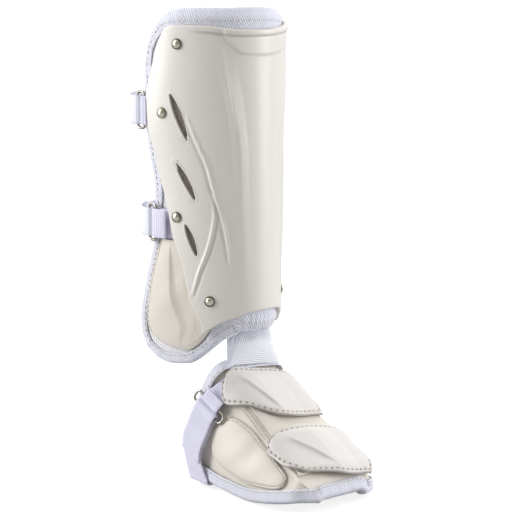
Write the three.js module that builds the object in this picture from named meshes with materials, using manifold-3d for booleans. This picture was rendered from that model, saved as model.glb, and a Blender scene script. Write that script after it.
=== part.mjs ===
// A batter's leg guard: a moulded shin shell on a padded, bound liner with an ankle lobe, two calf
// straps, and a hinged-by-cloth foot guard that hangs below it on an elastic link.
//
// Millimetres, +Z up. The front of the shin faces -Y and the inner side of the leg, with the ankle
// lobe, is -X. The origin is on the leg's axis, seatHeight above the sole of the foot guard.
// On the leg a point is (angle, height, offset): the angle runs round from the front, positive
// towards the inner side, height is above the sole, and offset is out from the shell's face.

import * as THREE from 'three';
import { mergeVertices } from 'three/addons/utils/BufferGeometryUtils.js';
import Module from 'manifold-3d';

const wasm = await Module();
wasm.setup();

// Overall sizes
const guardHeight = 411;
const seatHeight = 262;
const frontReach = 58;
const frontLean = 3.5;
const frontRadius = 50;
const sideRadius = 92;
const frontArc = 42;
const sideArc = 72;

// Walls, and the gaps between neighbours: the least one, under the shell, and round a tape
const clearance = 0.3;
const layerGap = 0.8;
const tapeGap = 0.6;
const shellWall = 3;
const webbingWall = 1.3;
const tapeWall = 1;
const padWall = 7.5;
const tapeWidth = 9.5;

// Moulded relief of the shell
const collarRise = 1.2;
const creaseRise = 1.1;
const lipRise = 0.9;
const lipHeight = 3;
const ribRise = 0.9;
const ribWidth = 3.2;

// Fasteners and straps
const rivetRadius = 4.7;
const rivetDome = 2.7;
const rivetShank = 1.9;
const webbingWidth = 25;
const strapWall = 1.8;
const ringWire = 1.25;
const ringLength = 9;
const calfDepth = 36;
const foldLength = 62;

// Ankle panel and elastic link
const panelWall = 2;
const panelDome = 3;
const elasticWall = 1.5;
const elasticTopAngle = 49;

// Foot guard
const footLength = 140;
const footHalfWidth = 49;
const instepHeight = 95;
const footWall = 5;
const footGap = 1.6;
const rimPinch = 1.6;
const footTapeWidth = 10;
const plateWall = 2.6;
const plateRidge = 1.6;
const sidePanelWall = 2;
const sidePanelDome = 3.5;
const tongueWall = 1.2;
const footTabWidth = 20;
const footStrapWidth = 25;
const footStrapBack = 11;

// Layers of the shin guard, as offsets in from the shell's outer face
const shellInner = -shellWall;
const webbingOuter = shellInner - layerGap;
const webbingInner = webbingOuter - webbingWall;
const tapeOuter = webbingInner - tapeGap;
const padOuter = tapeOuter - tapeWall - tapeGap;
const padInner = padOuter - padWall;
const tapeInner = padInner - tapeGap - tapeWall;
const padMiddle = (padOuter + padInner) / 2;
const rivetDepth = -webbingOuter - clearance;

const colours = {
  shell: { color: 0xe9e4dc, roughness: 0.38, metalness: 0 },
  pad: { color: 0xe6e6ee, roughness: 0.9, metalness: 0 },
  binding: { color: 0xdfe0ee, roughness: 0.92, metalness: 0 },
  leather: { color: 0xe6dfcf, roughness: 0.5, metalness: 0 },
  webbing: { color: 0xd8dcf0, roughness: 0.85, metalness: 0 },
  elastic: { color: 0xd3d9ef, roughness: 0.85, metalness: 0 },
  steel: { color: 0x8a8680, roughness: 0.3, metalness: 1 },
  rivet: { color: 0xb9ad84, roughness: 0.25, metalness: 1 },
};

const group = new THREE.Group();
group.position.set(0, 0, -seatHeight);

// Numbers and tables

const radians = THREE.MathUtils.degToRad;
const mix = THREE.MathUtils.lerp;
const clamp = THREE.MathUtils.clamp;
const smooth = (x, low, high) => THREE.MathUtils.smoothstep(x, low, high);

// Reads a column of a table at a place between its rows, on a smooth curve through the rows.
function read(rows, key, at, column) {
  const last = rows.length - 1;
  const x = clamp(at, rows[0][key], rows[last][key]);
  let i = 0;
  while (i < last - 1 && x > rows[i + 1][key]) {
    i += 1;
  }
  const slope = (k) => {
    const before = rows[Math.max(k - 1, 0)];
    const after = rows[Math.min(k + 1, last)];
    return (after[column] - before[column]) / (after[key] - before[key]);
  };
  const span = rows[i + 1][key] - rows[i][key];
  const t = (x - rows[i][key]) / span;
  const bend = t * t * (3 - 2 * t);
  const leave = t * (1 - t) * (1 - t) * span * slope(i);
  const arrive = t * t * (t - 1) * span * slope(i + 1);
  return mix(rows[i][column], rows[i + 1][column], bend) + leave + arrive;
}

// A smooth curve through the rows of a table, as count + 1 spots an equal way apart.
function through(rows, keys, count) {
  const curve = new THREE.CatmullRomCurve3(
    rows.map((row) => new THREE.Vector3(row[keys[0]], row[keys[1]], keys[2] ? row[keys[2]] : 0)),
    false,
    'centripetal',
  );
  return curve.getSpacedPoints(count);
}

// Closed bodies

function geometryFrom(points, faces) {
  const geometry = new THREE.BufferGeometry();
  const numbers = points.flatMap((p) => [p.x, p.y, p.z]);
  geometry.setAttribute('position', new THREE.Float32BufferAttribute(numbers, 3));
  geometry.setIndex(faces.flat());
  return geometry;
}

// A sheet between two faces, each a grid of spots; face(i, j, 1) is the outer one.
function sheet(columns, rows, face) {
  const points = [];
  for (const side of [1, 0]) {
    for (let j = 0; j <= rows; j += 1) {
      for (let i = 0; i <= columns; i += 1) {
        points.push(face(i / columns, j / rows, side, i, j));
      }
    }
  }
  const layer = (columns + 1) * (rows + 1);
  const spot = (i, j, side) => (side ? 0 : layer) + j * (columns + 1) + i;
  const faces = [];
  const quad = (a, b, c, d) => faces.push([a, b, c], [a, c, d]);
  for (let j = 0; j < rows; j += 1) {
    for (let i = 0; i < columns; i += 1) {
      quad(spot(i, j, 1), spot(i + 1, j, 1), spot(i + 1, j + 1, 1), spot(i, j + 1, 1));
      quad(spot(i, j, 0), spot(i, j + 1, 0), spot(i + 1, j + 1, 0), spot(i + 1, j, 0));
    }
  }
  for (let i = 0; i < columns; i += 1) {
    quad(spot(i, 0, 0), spot(i + 1, 0, 0), spot(i + 1, 0, 1), spot(i, 0, 1));
    quad(spot(i, rows, 1), spot(i + 1, rows, 1), spot(i + 1, rows, 0), spot(i, rows, 0));
  }
  for (let j = 0; j < rows; j += 1) {
    quad(spot(0, j, 1), spot(0, j + 1, 1), spot(0, j + 1, 0), spot(0, j, 0));
    quad(spot(columns, j, 0), spot(columns, j + 1, 0), spot(columns, j + 1, 1), spot(columns, j, 1));
  }
  return facingOut(geometryFrom(points, faces));
}

// A closed ring of one section after another; sections[k] is a closed loop of points.
function ringOf(sections) {
  const steps = sections.length;
  const sides = sections[0].length;
  const faces = [];
  for (let k = 0; k < steps; k += 1) {
    const next = (k + 1) % steps;
    for (let i = 0; i < sides; i += 1) {
      const after = (i + 1) % sides;
      faces.push([k * sides + i, next * sides + i, next * sides + after]);
      faces.push([k * sides + i, next * sides + after, k * sides + after]);
    }
  }
  return facingOut(geometryFrom(sections.flat(), faces));
}

// Turns a closed mesh the right way out, by the sign of its volume.
function facingOut(geometry) {
  const at = geometry.attributes.position;
  const index = geometry.index.array;
  const corner = (i) => new THREE.Vector3().fromBufferAttribute(at, i);
  let volume = 0;
  for (let t = 0; t < index.length; t += 3) {
    volume += corner(index[t]).dot(corner(index[t + 1]).cross(corner(index[t + 2])));
  }
  if (volume < 0) {
    for (let t = 0; t < index.length; t += 3) {
      [index[t], index[t + 1]] = [index[t + 1], index[t]];
    }
  }
  return geometry;
}

function solidOf(geometry) {
  const bare = geometry.clone();
  bare.deleteAttribute('normal');
  bare.deleteAttribute('uv');
  const merged = mergeVertices(bare, 1e-4);
  return new wasm.Manifold(new wasm.Mesh({
    numProp: 3,
    vertProperties: new Float32Array(merged.attributes.position.array),
    triVerts: new Uint32Array(merged.index.array),
  }));
}

function geometryOf(solid) {
  const mesh = solid.getMesh();
  const geometry = new THREE.BufferGeometry();
  geometry.setAttribute('position', new THREE.BufferAttribute(mesh.vertProperties, 3));
  geometry.setIndex(new THREE.BufferAttribute(mesh.triVerts, 1));
  return geometry;
}

// Cuts and joins, and lets go of specks that a cut leaves behind.
function shaped(geometry, joins, cuts) {
  let solid = solidOf(geometry);
  for (const join of joins) {
    solid = solid.add(solidOf(join));
  }
  for (const cut of cuts) {
    solid = solid.subtract(solidOf(cut));
  }
  const bodies = solid.decompose();
  bodies.sort((a, b) => b.volume() - a.volume());
  return geometryOf(bodies[0]);
}

function add(name, geometry, look) {
  const mesh = new THREE.Mesh(geometry, new THREE.MeshStandardMaterial(colours[look]));
  mesh.name = name;
  group.add(mesh);
  return mesh;
}

// The leg: a section of three arcs on each side, front, side and back

const legRows = [
  { height: 0.219, front: 0.72, side: 1.0, back: 1.96 },
  { height: 0.316, front: 0.74, side: 1.0, back: 1.96 },
  { height: 0.414, front: 0.78, side: 1.0, back: 1.63 },
  { height: 0.511, front: 0.82, side: 0.99, back: 1.14 },
  { height: 0.608, front: 0.86, side: 0.98, back: 0.98 },
  { height: 0.779, front: 0.98, side: 1.065, back: 1.065 },
  { height: 0.925, front: 1.1, side: 0.87, back: 0.87 },
  { height: 1.046, front: 1.16, side: 0.78, back: 0.78 },
];

function legRadii(height) {
  const share = height / guardHeight;
  return {
    front: frontRadius * read(legRows, 'height', share, 'front'),
    side: sideRadius * read(legRows, 'height', share, 'side'),
    back: sideRadius * read(legRows, 'height', share, 'back'),
  };
}

function legPoint(angle, height, offset) {
  const { front, side, back } = legRadii(height);
  const turn = Math.abs(angle);
  const a = radians(Math.min(turn, frontArc));
  const b = radians(clamp(turn, frontArc, sideArc));
  const c = radians(Math.max(turn, sideArc));
  const first = radians(frontArc);
  const second = radians(sideArc);
  const end = radians(turn);
  let out = front * Math.sin(a) + side * (Math.sin(b) - Math.sin(first));
  out += back * (Math.sin(c) - Math.sin(second)) + offset * Math.sin(end);
  let depth = front * (1 - Math.cos(a)) + side * (Math.cos(first) - Math.cos(b));
  depth += back * (Math.cos(second) - Math.cos(c)) - offset * Math.cos(end);
  const lean = frontLean * (height / guardHeight - 0.55);
  return new THREE.Vector3(-Math.sign(angle) * out, depth + lean - frontReach, height);
}

function legRadius(angle, height) {
  const { front, side, back } = legRadii(height);
  const turn = Math.abs(angle);
  return turn < frontArc ? front : turn < sideArc ? side : back;
}

// Outward direction of the leg's face at an angle, and the way round it towards the inner side.
const legOut = (angle) => new THREE.Vector3(-Math.sin(radians(angle)), -Math.cos(radians(angle)), 0);
const legRound = (angle) => new THREE.Vector3(-Math.cos(radians(angle)), Math.sin(radians(angle)), 0);

// A spot moved over the leg's face by lengths along and up.
function moved(spot, along, up) {
  const turn = THREE.MathUtils.radToDeg(along / legRadius(spot.x, spot.y));
  return new THREE.Vector3(spot.x + turn, spot.y + up, 0);
}

// A closed loop of spots moved inwards over the leg's face.
function inset(loop, distance) {
  return loop.map((spot, k) => {
    const before = loop[(k + loop.length - 1) % loop.length];
    const after = loop[(k + 1) % loop.length];
    const along = radians(after.x - before.x) * legRadius(spot.x, spot.y);
    const up = after.y - before.y;
    const length = Math.hypot(along, up);
    return moved(spot, (-up / length) * distance, (along / length) * distance);
  });
}

// Outlines of the liner, as shares of guardHeight and degrees. Both sides have the same upper edge,
// the top dips a little on the outer side, and the inner side goes on down into the ankle lobe.

const padTopRows = [
  { angle: 0, height: 1 },
  { angle: 30, height: 1 },
  { angle: 56, height: 1 },
  { angle: 72, height: 0.998 },
  { angle: 83, height: 0.991 },
  { angle: 93, height: 0.972 },
  { angle: 100, height: 0.948 },
];

const padOuterTopRows = [
  { angle: 0, height: 1 },
  { angle: 30, height: 0.994 },
  { angle: 56, height: 0.987 },
  { angle: 72, height: 0.982 },
  { angle: 83, height: 0.974 },
  { angle: 93, height: 0.961 },
  { angle: 100, height: 0.948 },
];

const padSideRows = [
  { angle: 97, height: 0.6 },
  { angle: 95, height: 0.7 },
  { angle: 94, height: 0.745 },
  { angle: 96, height: 0.825 },
  { angle: 102.5, height: 0.88 },
  { angle: 103.5, height: 0.917 },
  { angle: 100, height: 0.948 },
];

const padLobeRows = [
  { angle: 88, height: 0.264 },
  { angle: 90, height: 0.29 },
  { angle: 91, height: 0.318 },
  { angle: 91.5, height: 0.36 },
  { angle: 91.5, height: 0.42 },
  { angle: 93, height: 0.48 },
  { angle: 96, height: 0.55 },
];

const padOuterSideRows = [
  { angle: 74, height: 0.335 },
  { angle: 80, height: 0.36 },
  { angle: 85, height: 0.42 },
  { angle: 91, height: 0.49 },
  { angle: 95.5, height: 0.55 },
];

const padBottomRows = [
  { angle: -74, height: 0.335 },
  { angle: -62, height: 0.324 },
  { angle: -46, height: 0.32 },
  { angle: -20, height: 0.321 },
  { angle: 6, height: 0.323 },
  { angle: 30, height: 0.325 },
  { angle: 41, height: 0.32 },
  { angle: 49, height: 0.307 },
  { angle: 58, height: 0.282 },
  { angle: 65, height: 0.262 },
  { angle: 73, height: 0.246 },
  { angle: 81, height: 0.241 },
  { angle: 88, height: 0.264 },
];

const raised = (rows, side) => rows.map((row) => ({
  angle: row.angle * side,
  height: row.height * guardHeight,
}));

const padColumns = 14;
const padRows = 16;

// The liner's whole outline as one loop: along the bottom, up the inner side, back over the top
// and down the outer side.
function padLoop() {
  const keys = ['angle', 'height'];
  const bottom = through(raised(padBottomRows, 1), keys, padColumns);
  const inner = through(raised([...padLobeRows, ...padSideRows], 1), keys, padRows);
  const half = [...padTopRows].reverse();
  const top = through([...raised(half, 1), ...raised(padOuterTopRows.slice(1), -1)], keys, padColumns);
  const outer = through(raised([...padOuterSideRows, ...padSideRows], -1), keys, padRows).reverse();
  return [bottom, inner, top, outer].flatMap((edge) => edge.slice(0, -1));
}

const padOutline = padLoop();

// A patch blended from the four edges of such a loop, at column i and row j.
function patch(loop, columns, rows, i, j) {
  const wrap = (k) => loop[k % loop.length];
  const u = i / columns;
  const v = j / rows;
  const bottom = wrap(i);
  const inner = wrap(columns + j);
  const top = wrap(columns + rows + (columns - i));
  const outer = wrap(2 * columns + rows + (rows - j));
  const blend = (key) => {
    const low = mix(wrap(0)[key], wrap(columns)[key], u);
    const high = mix(wrap(2 * columns + rows)[key], wrap(columns + rows)[key], u);
    return mix(bottom[key], top[key], v) + mix(outer[key], inner[key], u) - mix(low, high, v);
  };
  return new THREE.Vector3(blend('x'), blend('y'), 0);
}

// The shell: its bottom, top and back edges, the crease that bounds its front band, and its relief

const shellBottomRows = [
  { angle: 0, height: 0.369 },
  { angle: 12, height: 0.3685 },
  { angle: 26, height: 0.366 },
  { angle: 39, height: 0.359 },
  { angle: 46, height: 0.351 },
  { angle: 52, height: 0.341 },
  { angle: 57, height: 0.329 },
  { angle: 61.5, height: 0.316 },
];

const shellTopRows = [
  { angle: 0, height: 0.956 },
  { angle: 30, height: 0.959 },
  { angle: 55, height: 0.966 },
  { angle: 73, height: 0.965 },
  { angle: 79, height: 0.96 },
  { angle: 82, height: 0.949 },
];

const shellBackRows = [
  { height: 0.316, angle: 61.5 },
  { height: 0.334, angle: 62 },
  { height: 0.353, angle: 64 },
  { height: 0.384, angle: 68 },
  { height: 0.443, angle: 71 },
  { height: 0.483, angle: 73.5 },
  { height: 0.522, angle: 77.5 },
  { height: 0.588, angle: 81.5 },
  { height: 0.64, angle: 84.5 },
  { height: 0.7, angle: 85.5 },
  { height: 0.76, angle: 88 },
  { height: 0.83, angle: 88.5 },
  { height: 0.88, angle: 87.5 },
  { height: 0.92, angle: 86 },
  { height: 0.949, angle: 82 },
];

const creaseRows = [
  { height: 0.36, angle: 29 },
  { height: 0.45, angle: 29 },
  { height: 0.607, angle: 31 },
  { height: 0.7, angle: 30 },
  { height: 0.8, angle: 33 },
  { height: 0.86, angle: 36 },
  { height: 0.96, angle: 38.5 },
];

const stepRows = [
  { angle: 0, height: 0.904 },
  { angle: 24, height: 0.909 },
  { angle: 30, height: 0.92 },
  { angle: 38, height: 0.943 },
];

const shellTip = shellBottomRows.at(-1);
const shellCorner = shellTopRows.at(-1);
const shellCreaseColumn = 0.34;
const shellHalfColumns = [0, 0.12, 0.25, shellCreaseColumn, 0.45, 0.56, 0.67, 0.78, 0.89, 1];
const shellColumns = [...shellHalfColumns.slice(1).map((u) => -u).reverse(), ...shellHalfColumns];
const shellLevels = [0, 0.06, 0.14, 0.24, 0.35, 0.46, 0.57, 0.68, 0.78, 0.86, 0.905, 0.925, 0.97, 1];

function shellSpot(u, v) {
  const side = Math.sign(u) || 1;
  const edgeShare = mix(shellTip.height, shellCorner.height, v);
  const edge = read(shellBackRows, 'height', edgeShare, 'angle');
  const crease = read(creaseRows, 'height', edgeShare, 'angle');
  const part = Math.abs(u);
  const inside = part <= shellCreaseColumn;
  const beyond = (part - shellCreaseColumn) / (1 - shellCreaseColumn);
  const angle = inside ? (crease * part) / shellCreaseColumn : mix(crease, edge, beyond);
  const low = read(shellBottomRows, 'angle', (angle * shellTip.angle) / edge, 'height');
  const high = read(shellTopRows, 'angle', (angle * shellCorner.angle) / edge, 'height');
  return new THREE.Vector3(side * angle, mix(low, high, v) * guardHeight, 0);
}

// Height of the moulded face over the plain leg: the ridge along the crease, the collar above the
// step, and the lip round the top.
function shellRelief(spot) {
  const share = spot.y / guardHeight;
  const turn = Math.abs(spot.x);
  const crease = read(creaseRows, 'height', share, 'angle');
  const ends = smooth(share, 0.37, 0.45) * (1 - smooth(share, 0.82, 0.92));
  const ridge = creaseRise * ends * clamp(1 - Math.abs(turn - crease) / 9, 0, 1);
  const step = read(stepRows, 'angle', turn, 'height');
  const collar = collarRise * smooth(share, step - 0.004, step + 0.004) * (1 - smooth(turn, 36, 40));
  const top = read(shellTopRows, 'angle', turn, 'height') * guardHeight;
  const lip = lipRise * smooth(spot.y, top - lipHeight, top);
  return ridge + collar + lip;
}

// Slots through each side of the shell: their two ends, width, and how far they bow forward.
const slotRows = [
  { topAngle: 72, topHeight: 0.824, lowAngle: 63, lowHeight: 0.727, width: 5.6, bow: 1.6 },
  { topAngle: 72.5, topHeight: 0.684, lowAngle: 62.5, lowHeight: 0.602, width: 5, bow: 0.8 },
  { topAngle: 69.5, topHeight: 0.551, lowAngle: 63, lowHeight: 0.485, width: 4.8, bow: 0.8 },
];

// A through cutter over the leg's face, from its outline round a middle line.
function slotCutter(row, side) {
  const sides = 10;
  const angle = (row.topAngle + row.lowAngle) / 2;
  const height = ((row.topHeight + row.lowHeight) / 2) * guardHeight;
  const centre = new THREE.Vector3(angle, height, 0);
  const along = radians(row.topAngle - row.lowAngle) * legRadius(angle, height);
  const rise = (row.topHeight - row.lowHeight) * guardHeight;
  const length = Math.hypot(along, rise);
  const loop = [];
  for (let k = 0; k < sides; k += 1) {
    const t = (2 * Math.PI * k) / sides;
    const far = (length / 2) * Math.cos(t);
    const wide = (row.width / 2) * Math.sin(t) * (1.15 - 0.15 * Math.cos(2 * t)) - row.bow * Math.sin(t) ** 2;
    const acrossAlong = (far * along + wide * rise) / length;
    const acrossUp = (far * rise - wide * along) / length;
    loop.push(moved(centre, acrossAlong, acrossUp));
  }
  const points = [shellWall, -2 * shellWall].flatMap((offset) => [
    ...loop.map((spot) => legPoint(side * spot.x, spot.y, offset)),
    legPoint(side * angle, height, offset),
  ]);
  const faces = [];
  const below = sides + 1;
  for (let k = 0; k < sides; k += 1) {
    const next = (k + 1) % sides;
    faces.push([k, next, below + next], [k, below + next, below + k]);
    faces.push([sides, next, k], [below + sides, below + k, below + next]);
  }
  return facingOut(geometryFrom(points, faces));
}

// Raised ribs that sweep down each side of the shell.
const ribRows = [
  [
    { angle: 62, height: 0.775 },
    { angle: 57, height: 0.715 },
    { angle: 54, height: 0.68 },
    { angle: 52, height: 0.637 },
    { angle: 49.5, height: 0.59 },
    { angle: 46.5, height: 0.55 },
    { angle: 45, height: 0.51 },
    { angle: 44, height: 0.475 },
  ],
  [
    { angle: 53, height: 0.615 },
    { angle: 52, height: 0.58 },
    { angle: 53.5, height: 0.54 },
    { angle: 57, height: 0.495 },
    { angle: 61.5, height: 0.455 },
    { angle: 66, height: 0.405 },
  ],
];

function ribSolid(rows, side) {
  const steps = 7;
  const spots = through(raised(rows, 1), ['angle', 'height'], steps);
  const face = (u, v, outer, i, j) => {
    const spot = spots[j];
    const before = spots[Math.max(j - 1, 0)];
    const after = spots[Math.min(j + 1, steps)];
    const along = radians(after.x - before.x) * legRadius(spot.x, spot.y);
    const up = after.y - before.y;
    const length = Math.hypot(along, up);
    const taper = Math.sin((Math.PI * (j + 0.6)) / (steps + 1.2)) ** 0.5;
    const wide = (u - 0.5) * ribWidth * taper;
    const place = moved(spot, (wide * -up) / length, (wide * along) / length);
    const crest = u === 0.5 ? ribRise * taper : -0.4;
    return legPoint(side * place.x, place.y, outer ? crest : -shellWall / 2);
  };
  return sheet(2, steps, face);
}

// Rivets: four on each side, where the shell is fastened through the webbing to the liner

const rivetRows = [
  { name: 'top', angle: 70, height: 0.927 },
  { name: 'upper', angle: 76.5, height: 0.783 },
  { name: 'lower', angle: 74.5, height: 0.565 },
  { name: 'ankle', angle: 56.5, height: 0.3905 },
];
const sides = [
  { name: 'inner', sign: 1 },
  { name: 'outer', sign: -1 },
];

function rivetGeometry() {
  const head = clearance + 0.1;
  const profile = [
    [0, -rivetDepth], [rivetShank, -rivetDepth], [rivetShank, head], [rivetRadius, head],
    [rivetRadius * 0.72, head + rivetDome * 0.72],
    [0, head + rivetDome],
  ];
  const lathe = new THREE.LatheGeometry(profile.map(([x, y]) => new THREE.Vector2(x, y)), 8);
  return geometryOf(solidOf(facingOut(mergeVertices(stripped(lathe), 1e-4))));
}

function stripped(geometry) {
  const bare = geometry.clone();
  bare.deleteAttribute('normal');
  bare.deleteAttribute('uv');
  return bare;
}

// Stands a piece whose own axis is +Y on the leg's face.
function stand(object, row, side) {
  const spot = new THREE.Vector3(side * row.angle, row.height * guardHeight, 0);
  object.position.copy(legPoint(spot.x, spot.y, 0));
  object.quaternion.setFromUnitVectors(new THREE.Vector3(0, 1, 0), legOut(spot.x));
}

function rivetHole(row, side) {
  const length = rivetDepth + clearance + 2 * rivetDome;
  const pin = new THREE.CylinderGeometry(rivetShank + clearance, rivetShank + clearance, length, 8);
  pin.translate(0, length / 2 - rivetDepth - clearance, 0);
  const carrier = new THREE.Object3D();
  stand(carrier, row, side);
  carrier.updateMatrix();
  return stripped(pin).applyMatrix4(carrier.matrix);
}

const rivetHoles = () => sides.flatMap((side) => rivetRows.map((row) => rivetHole(row, side.sign)));

function buildShell() {
  const columns = shellColumns.length - 1;
  const levels = shellLevels.length - 1;
  const body = sheet(columns, levels, (u, v, outer, i, j) => {
    const spot = shellSpot(shellColumns[i], shellLevels[j]);
    return legPoint(spot.x, spot.y, outer ? shellRelief(spot) : shellInner);
  });
  const ribs = sides.flatMap((side) => ribRows.map((rows) => ribSolid(rows, side.sign)));
  const slots = sides.flatMap((side) => slotRows.map((row) => slotCutter(row, side.sign)));
  add('shin_shell', shaped(body, ribs, [...slots, ...rivetHoles()]), 'shell');
}

function buildRivets() {
  const geometry = rivetGeometry();
  for (const side of sides) {
    for (const row of rivetRows) {
      const mesh = add(`rivet_${row.name}_${side.name}`, geometry, 'rivet');
      stand(mesh, row, side.sign);
    }
  }
}

// The liner: a bound pad, with its tape folded over the whole edge

// Section of the folded tape: how far in from the edge, and its offset.
function tapeSection(width, outer, inner, wall) {
  const middle = (outer + inner) / 2;
  const half = (outer - inner) / 2;
  const round = wall * 1.6;
  return [
    [width, outer], [round, outer], [0, middle + half * 0.45], [0, middle - half * 0.45],
    [round, inner], [width, inner], [width, inner + wall], [wall, inner + wall],
    [wall, outer - wall], [width, outer - wall],
  ];
}

const onRim = (i, j, columns, rows) => i === 0 || i === columns || j === 0 || j === rows;

function shinTape() {
  const section = tapeSection(tapeWidth, tapeOuter, tapeInner, tapeWall);
  const lines = section.map(([inward]) => inset(padOutline, inward));
  return ringOf(padOutline.map((spot, k) => section.map(([, offset], i) => {
    const place = lines[i][k];
    return legPoint(place.x, place.y, offset);
  })));
}

function buildPad() {
  const loop = inset(padOutline, tapeWall + tapeGap);
  const body = sheet(padColumns, padRows, (u, v, outer, i, j) => {
    const spot = patch(loop, padColumns, padRows, i, j);
    const pinch = onRim(i, j, padColumns, padRows) ? rimPinch / 2 : 0;
    return legPoint(spot.x, spot.y, outer ? padOuter - pinch : padInner + pinch);
  });
  add('shin_pad', body, 'pad');
}

function buildShinBinding() {
  add('shin_binding', shinTape(), 'binding');
}

// The ankle panel: a domed leather patch on the lobe, its front edge under the shell

const panelBackRows = [
  { height: 0.278, angle: 76 },
  { height: 0.285, angle: 81 },
  { height: 0.303, angle: 85.5 },
  { height: 0.335, angle: 87.1 },
  { height: 0.4, angle: 87.4 },
  { height: 0.45, angle: 87.2 },
  { height: 0.49, angle: 87 },
  { height: 0.512, angle: 86.5 },
];
const panelFrontRows = [
  { height: 0.278, angle: 72 },
  { height: 0.286, angle: 68 },
  { height: 0.302, angle: 63 },
  { height: 0.33, angle: 58 },
  { height: 0.384, angle: 63 },
  { height: 0.443, angle: 67 },
  { height: 0.483, angle: 70.5 },
  { height: 0.512, angle: 74.5 },
];

function buildAnklePanel() {
  const low = panelBackRows[0].height;
  const high = panelBackRows.at(-1).height;
  const seat = padOuter + tapeGap;
  const body = sheet(6, 9, (u, v, outer) => {
    const share = mix(low, high, v);
    const front = read(panelFrontRows, 'height', share, 'angle');
    const back = read(panelBackRows, 'height', share, 'angle');
    const dome = Math.sin(Math.PI * u) ** 0.7 * Math.sin(Math.PI * v) ** 0.6;
    const ceiling = mix(webbingOuter, 0, smooth(u, 0.45, 0.7));
    const top = Math.min(seat + panelWall + panelDome * dome, ceiling);
    return legPoint(mix(front, back, u), share * guardHeight, outer ? top : seat);
  });
  add('ankle_panel', body, 'leather');
}

// Straps: a band of webbing between two lines, from the middle path's spots and width directions

// spots are { at, out, wide }: a place, the way out of the band's face, and the way across it.
function band(spots, width, wall) {
  return sheet(1, spots.length - 1, (u, v, outer, i, j) => {
    const { at, out, wide } = spots[j];
    const across = at.clone().addScaledVector(wide, (u - 0.5) * width);
    return across.addScaledVector(out, outer ? wall / 2 : -wall / 2);
  });
}

// Turns a flat path into spots: points are along the band, across is the way of its width.
function spotsAlong(points, across) {
  return points.map((at, k) => {
    const before = points[Math.max(k - 1, 0)];
    const after = points[Math.min(k + 1, points.length - 1)];
    const wide = across(k / (points.length - 1)).clone().normalize();
    const out = after.clone().sub(before).cross(wide).normalize();
    return { at, out, wide };
  });
}

// Half a turn about a wire, from one layer of a band to the other, in the plane of two directions.
function turnRound(centre, first, second, radius, steps) {
  return Array.from({ length: steps + 1 }, (_, k) => {
    const t = (Math.PI * k) / steps;
    const forward = centre.clone().addScaledVector(first, Math.cos(t) * radius);
    return forward.addScaledVector(second, Math.sin(t) * radius);
  });
}

// A steel loop: a closed wire round a rectangle with rounded corners.
function wireLoop(centre, long, across, reach, length) {
  const corner = 3 * ringWire;
  const points = [];
  for (const [sx, sy, from] of [[1, 1, 0], [-1, 1, 1], [-1, -1, 2], [1, -1, 3]]) {
    for (let k = 0; k <= 2; k += 1) {
      const t = ((from + k / 2) * Math.PI) / 2;
      const x = sx * (reach / 2 - corner) + corner * Math.cos(t);
      const y = sy * (length / 2 - corner) + corner * Math.sin(t);
      points.push(centre.clone().addScaledVector(across, x).addScaledVector(long, y));
    }
  }
  const path = new THREE.CatmullRomCurve3(points, true, 'centripetal');
  return facingOut(mergeVertices(stripped(new THREE.TubeGeometry(path, 16, ringWire, 5, true)), 1e-4));
}

const upwards = new THREE.Vector3(0, 0, 1);
const calfStraps = [
  { name: 'upper', height: 0.784, rivet: 'upper', edge: 92 },
  { name: 'lower', height: 0.546, rivet: 'lower', edge: 92.5 },
];

// Where a calf strap's ring sits: over the liner's edge, with room for the strap below it.
const ringOffset = tapeOuter + tapeGap + strapWall + 2 * clearance + ringWire;
const calfRing = (row, sign) => legPoint(sign * row.edge, row.height * guardHeight, ringOffset);

const foldRadius = ringWire + 2 * clearance + strapWall / 2;

function buildCalfStrap(row) {
  const level = row.height * guardHeight;
  const near = calfRing(row, 1);
  const wire = near.y + ringLength / 2 - ringWire;
  const half = Math.abs(near.x);
  const arc = (radius, from, to, steps) => Array.from({ length: steps + 1 }, (_, k) => {
    const t = mix(from, to, k / steps);
    const x = -(half + radius) * Math.cos(t);
    return new THREE.Vector3(x, wire + (calfDepth + radius) * Math.sin(t), level);
  });
  const fold = foldLength / (half + calfDepth);
  const inner = arc(-foldRadius, 0.06, Math.PI - 0.06, 20);
  const outer = arc(foldRadius, fold * 1.4, 0.06, 6);
  const turn = (sign) => turnRound(
    new THREE.Vector3(-sign * half, wire, level),
    new THREE.Vector3(-sign, 0, 0),
    new THREE.Vector3(0, -1, 0),
    foldRadius,
    6,
  );
  const farTurn = turn(-1).reverse();
  const farFold = arc(foldRadius, Math.PI - 0.06, Math.PI - fold * 0.6, 4);
  const points = [...outer, ...turn(1), ...inner, ...farTurn, ...farFold];
  add(`strap_${row.name}`, band(spotsAlong(points, () => upwards), webbingWidth, strapWall), 'webbing');
  for (const side of sides) {
    const centre = calfRing(row, side.sign);
    const rearwards = new THREE.Vector3(0, 1, 0);
    const ring = wireLoop(centre, upwards, rearwards, ringLength, webbingWidth + 5 * ringWire);
    add(`strap_ring_${row.name}_${side.name}`, ring, 'steel');
  }
}

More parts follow.
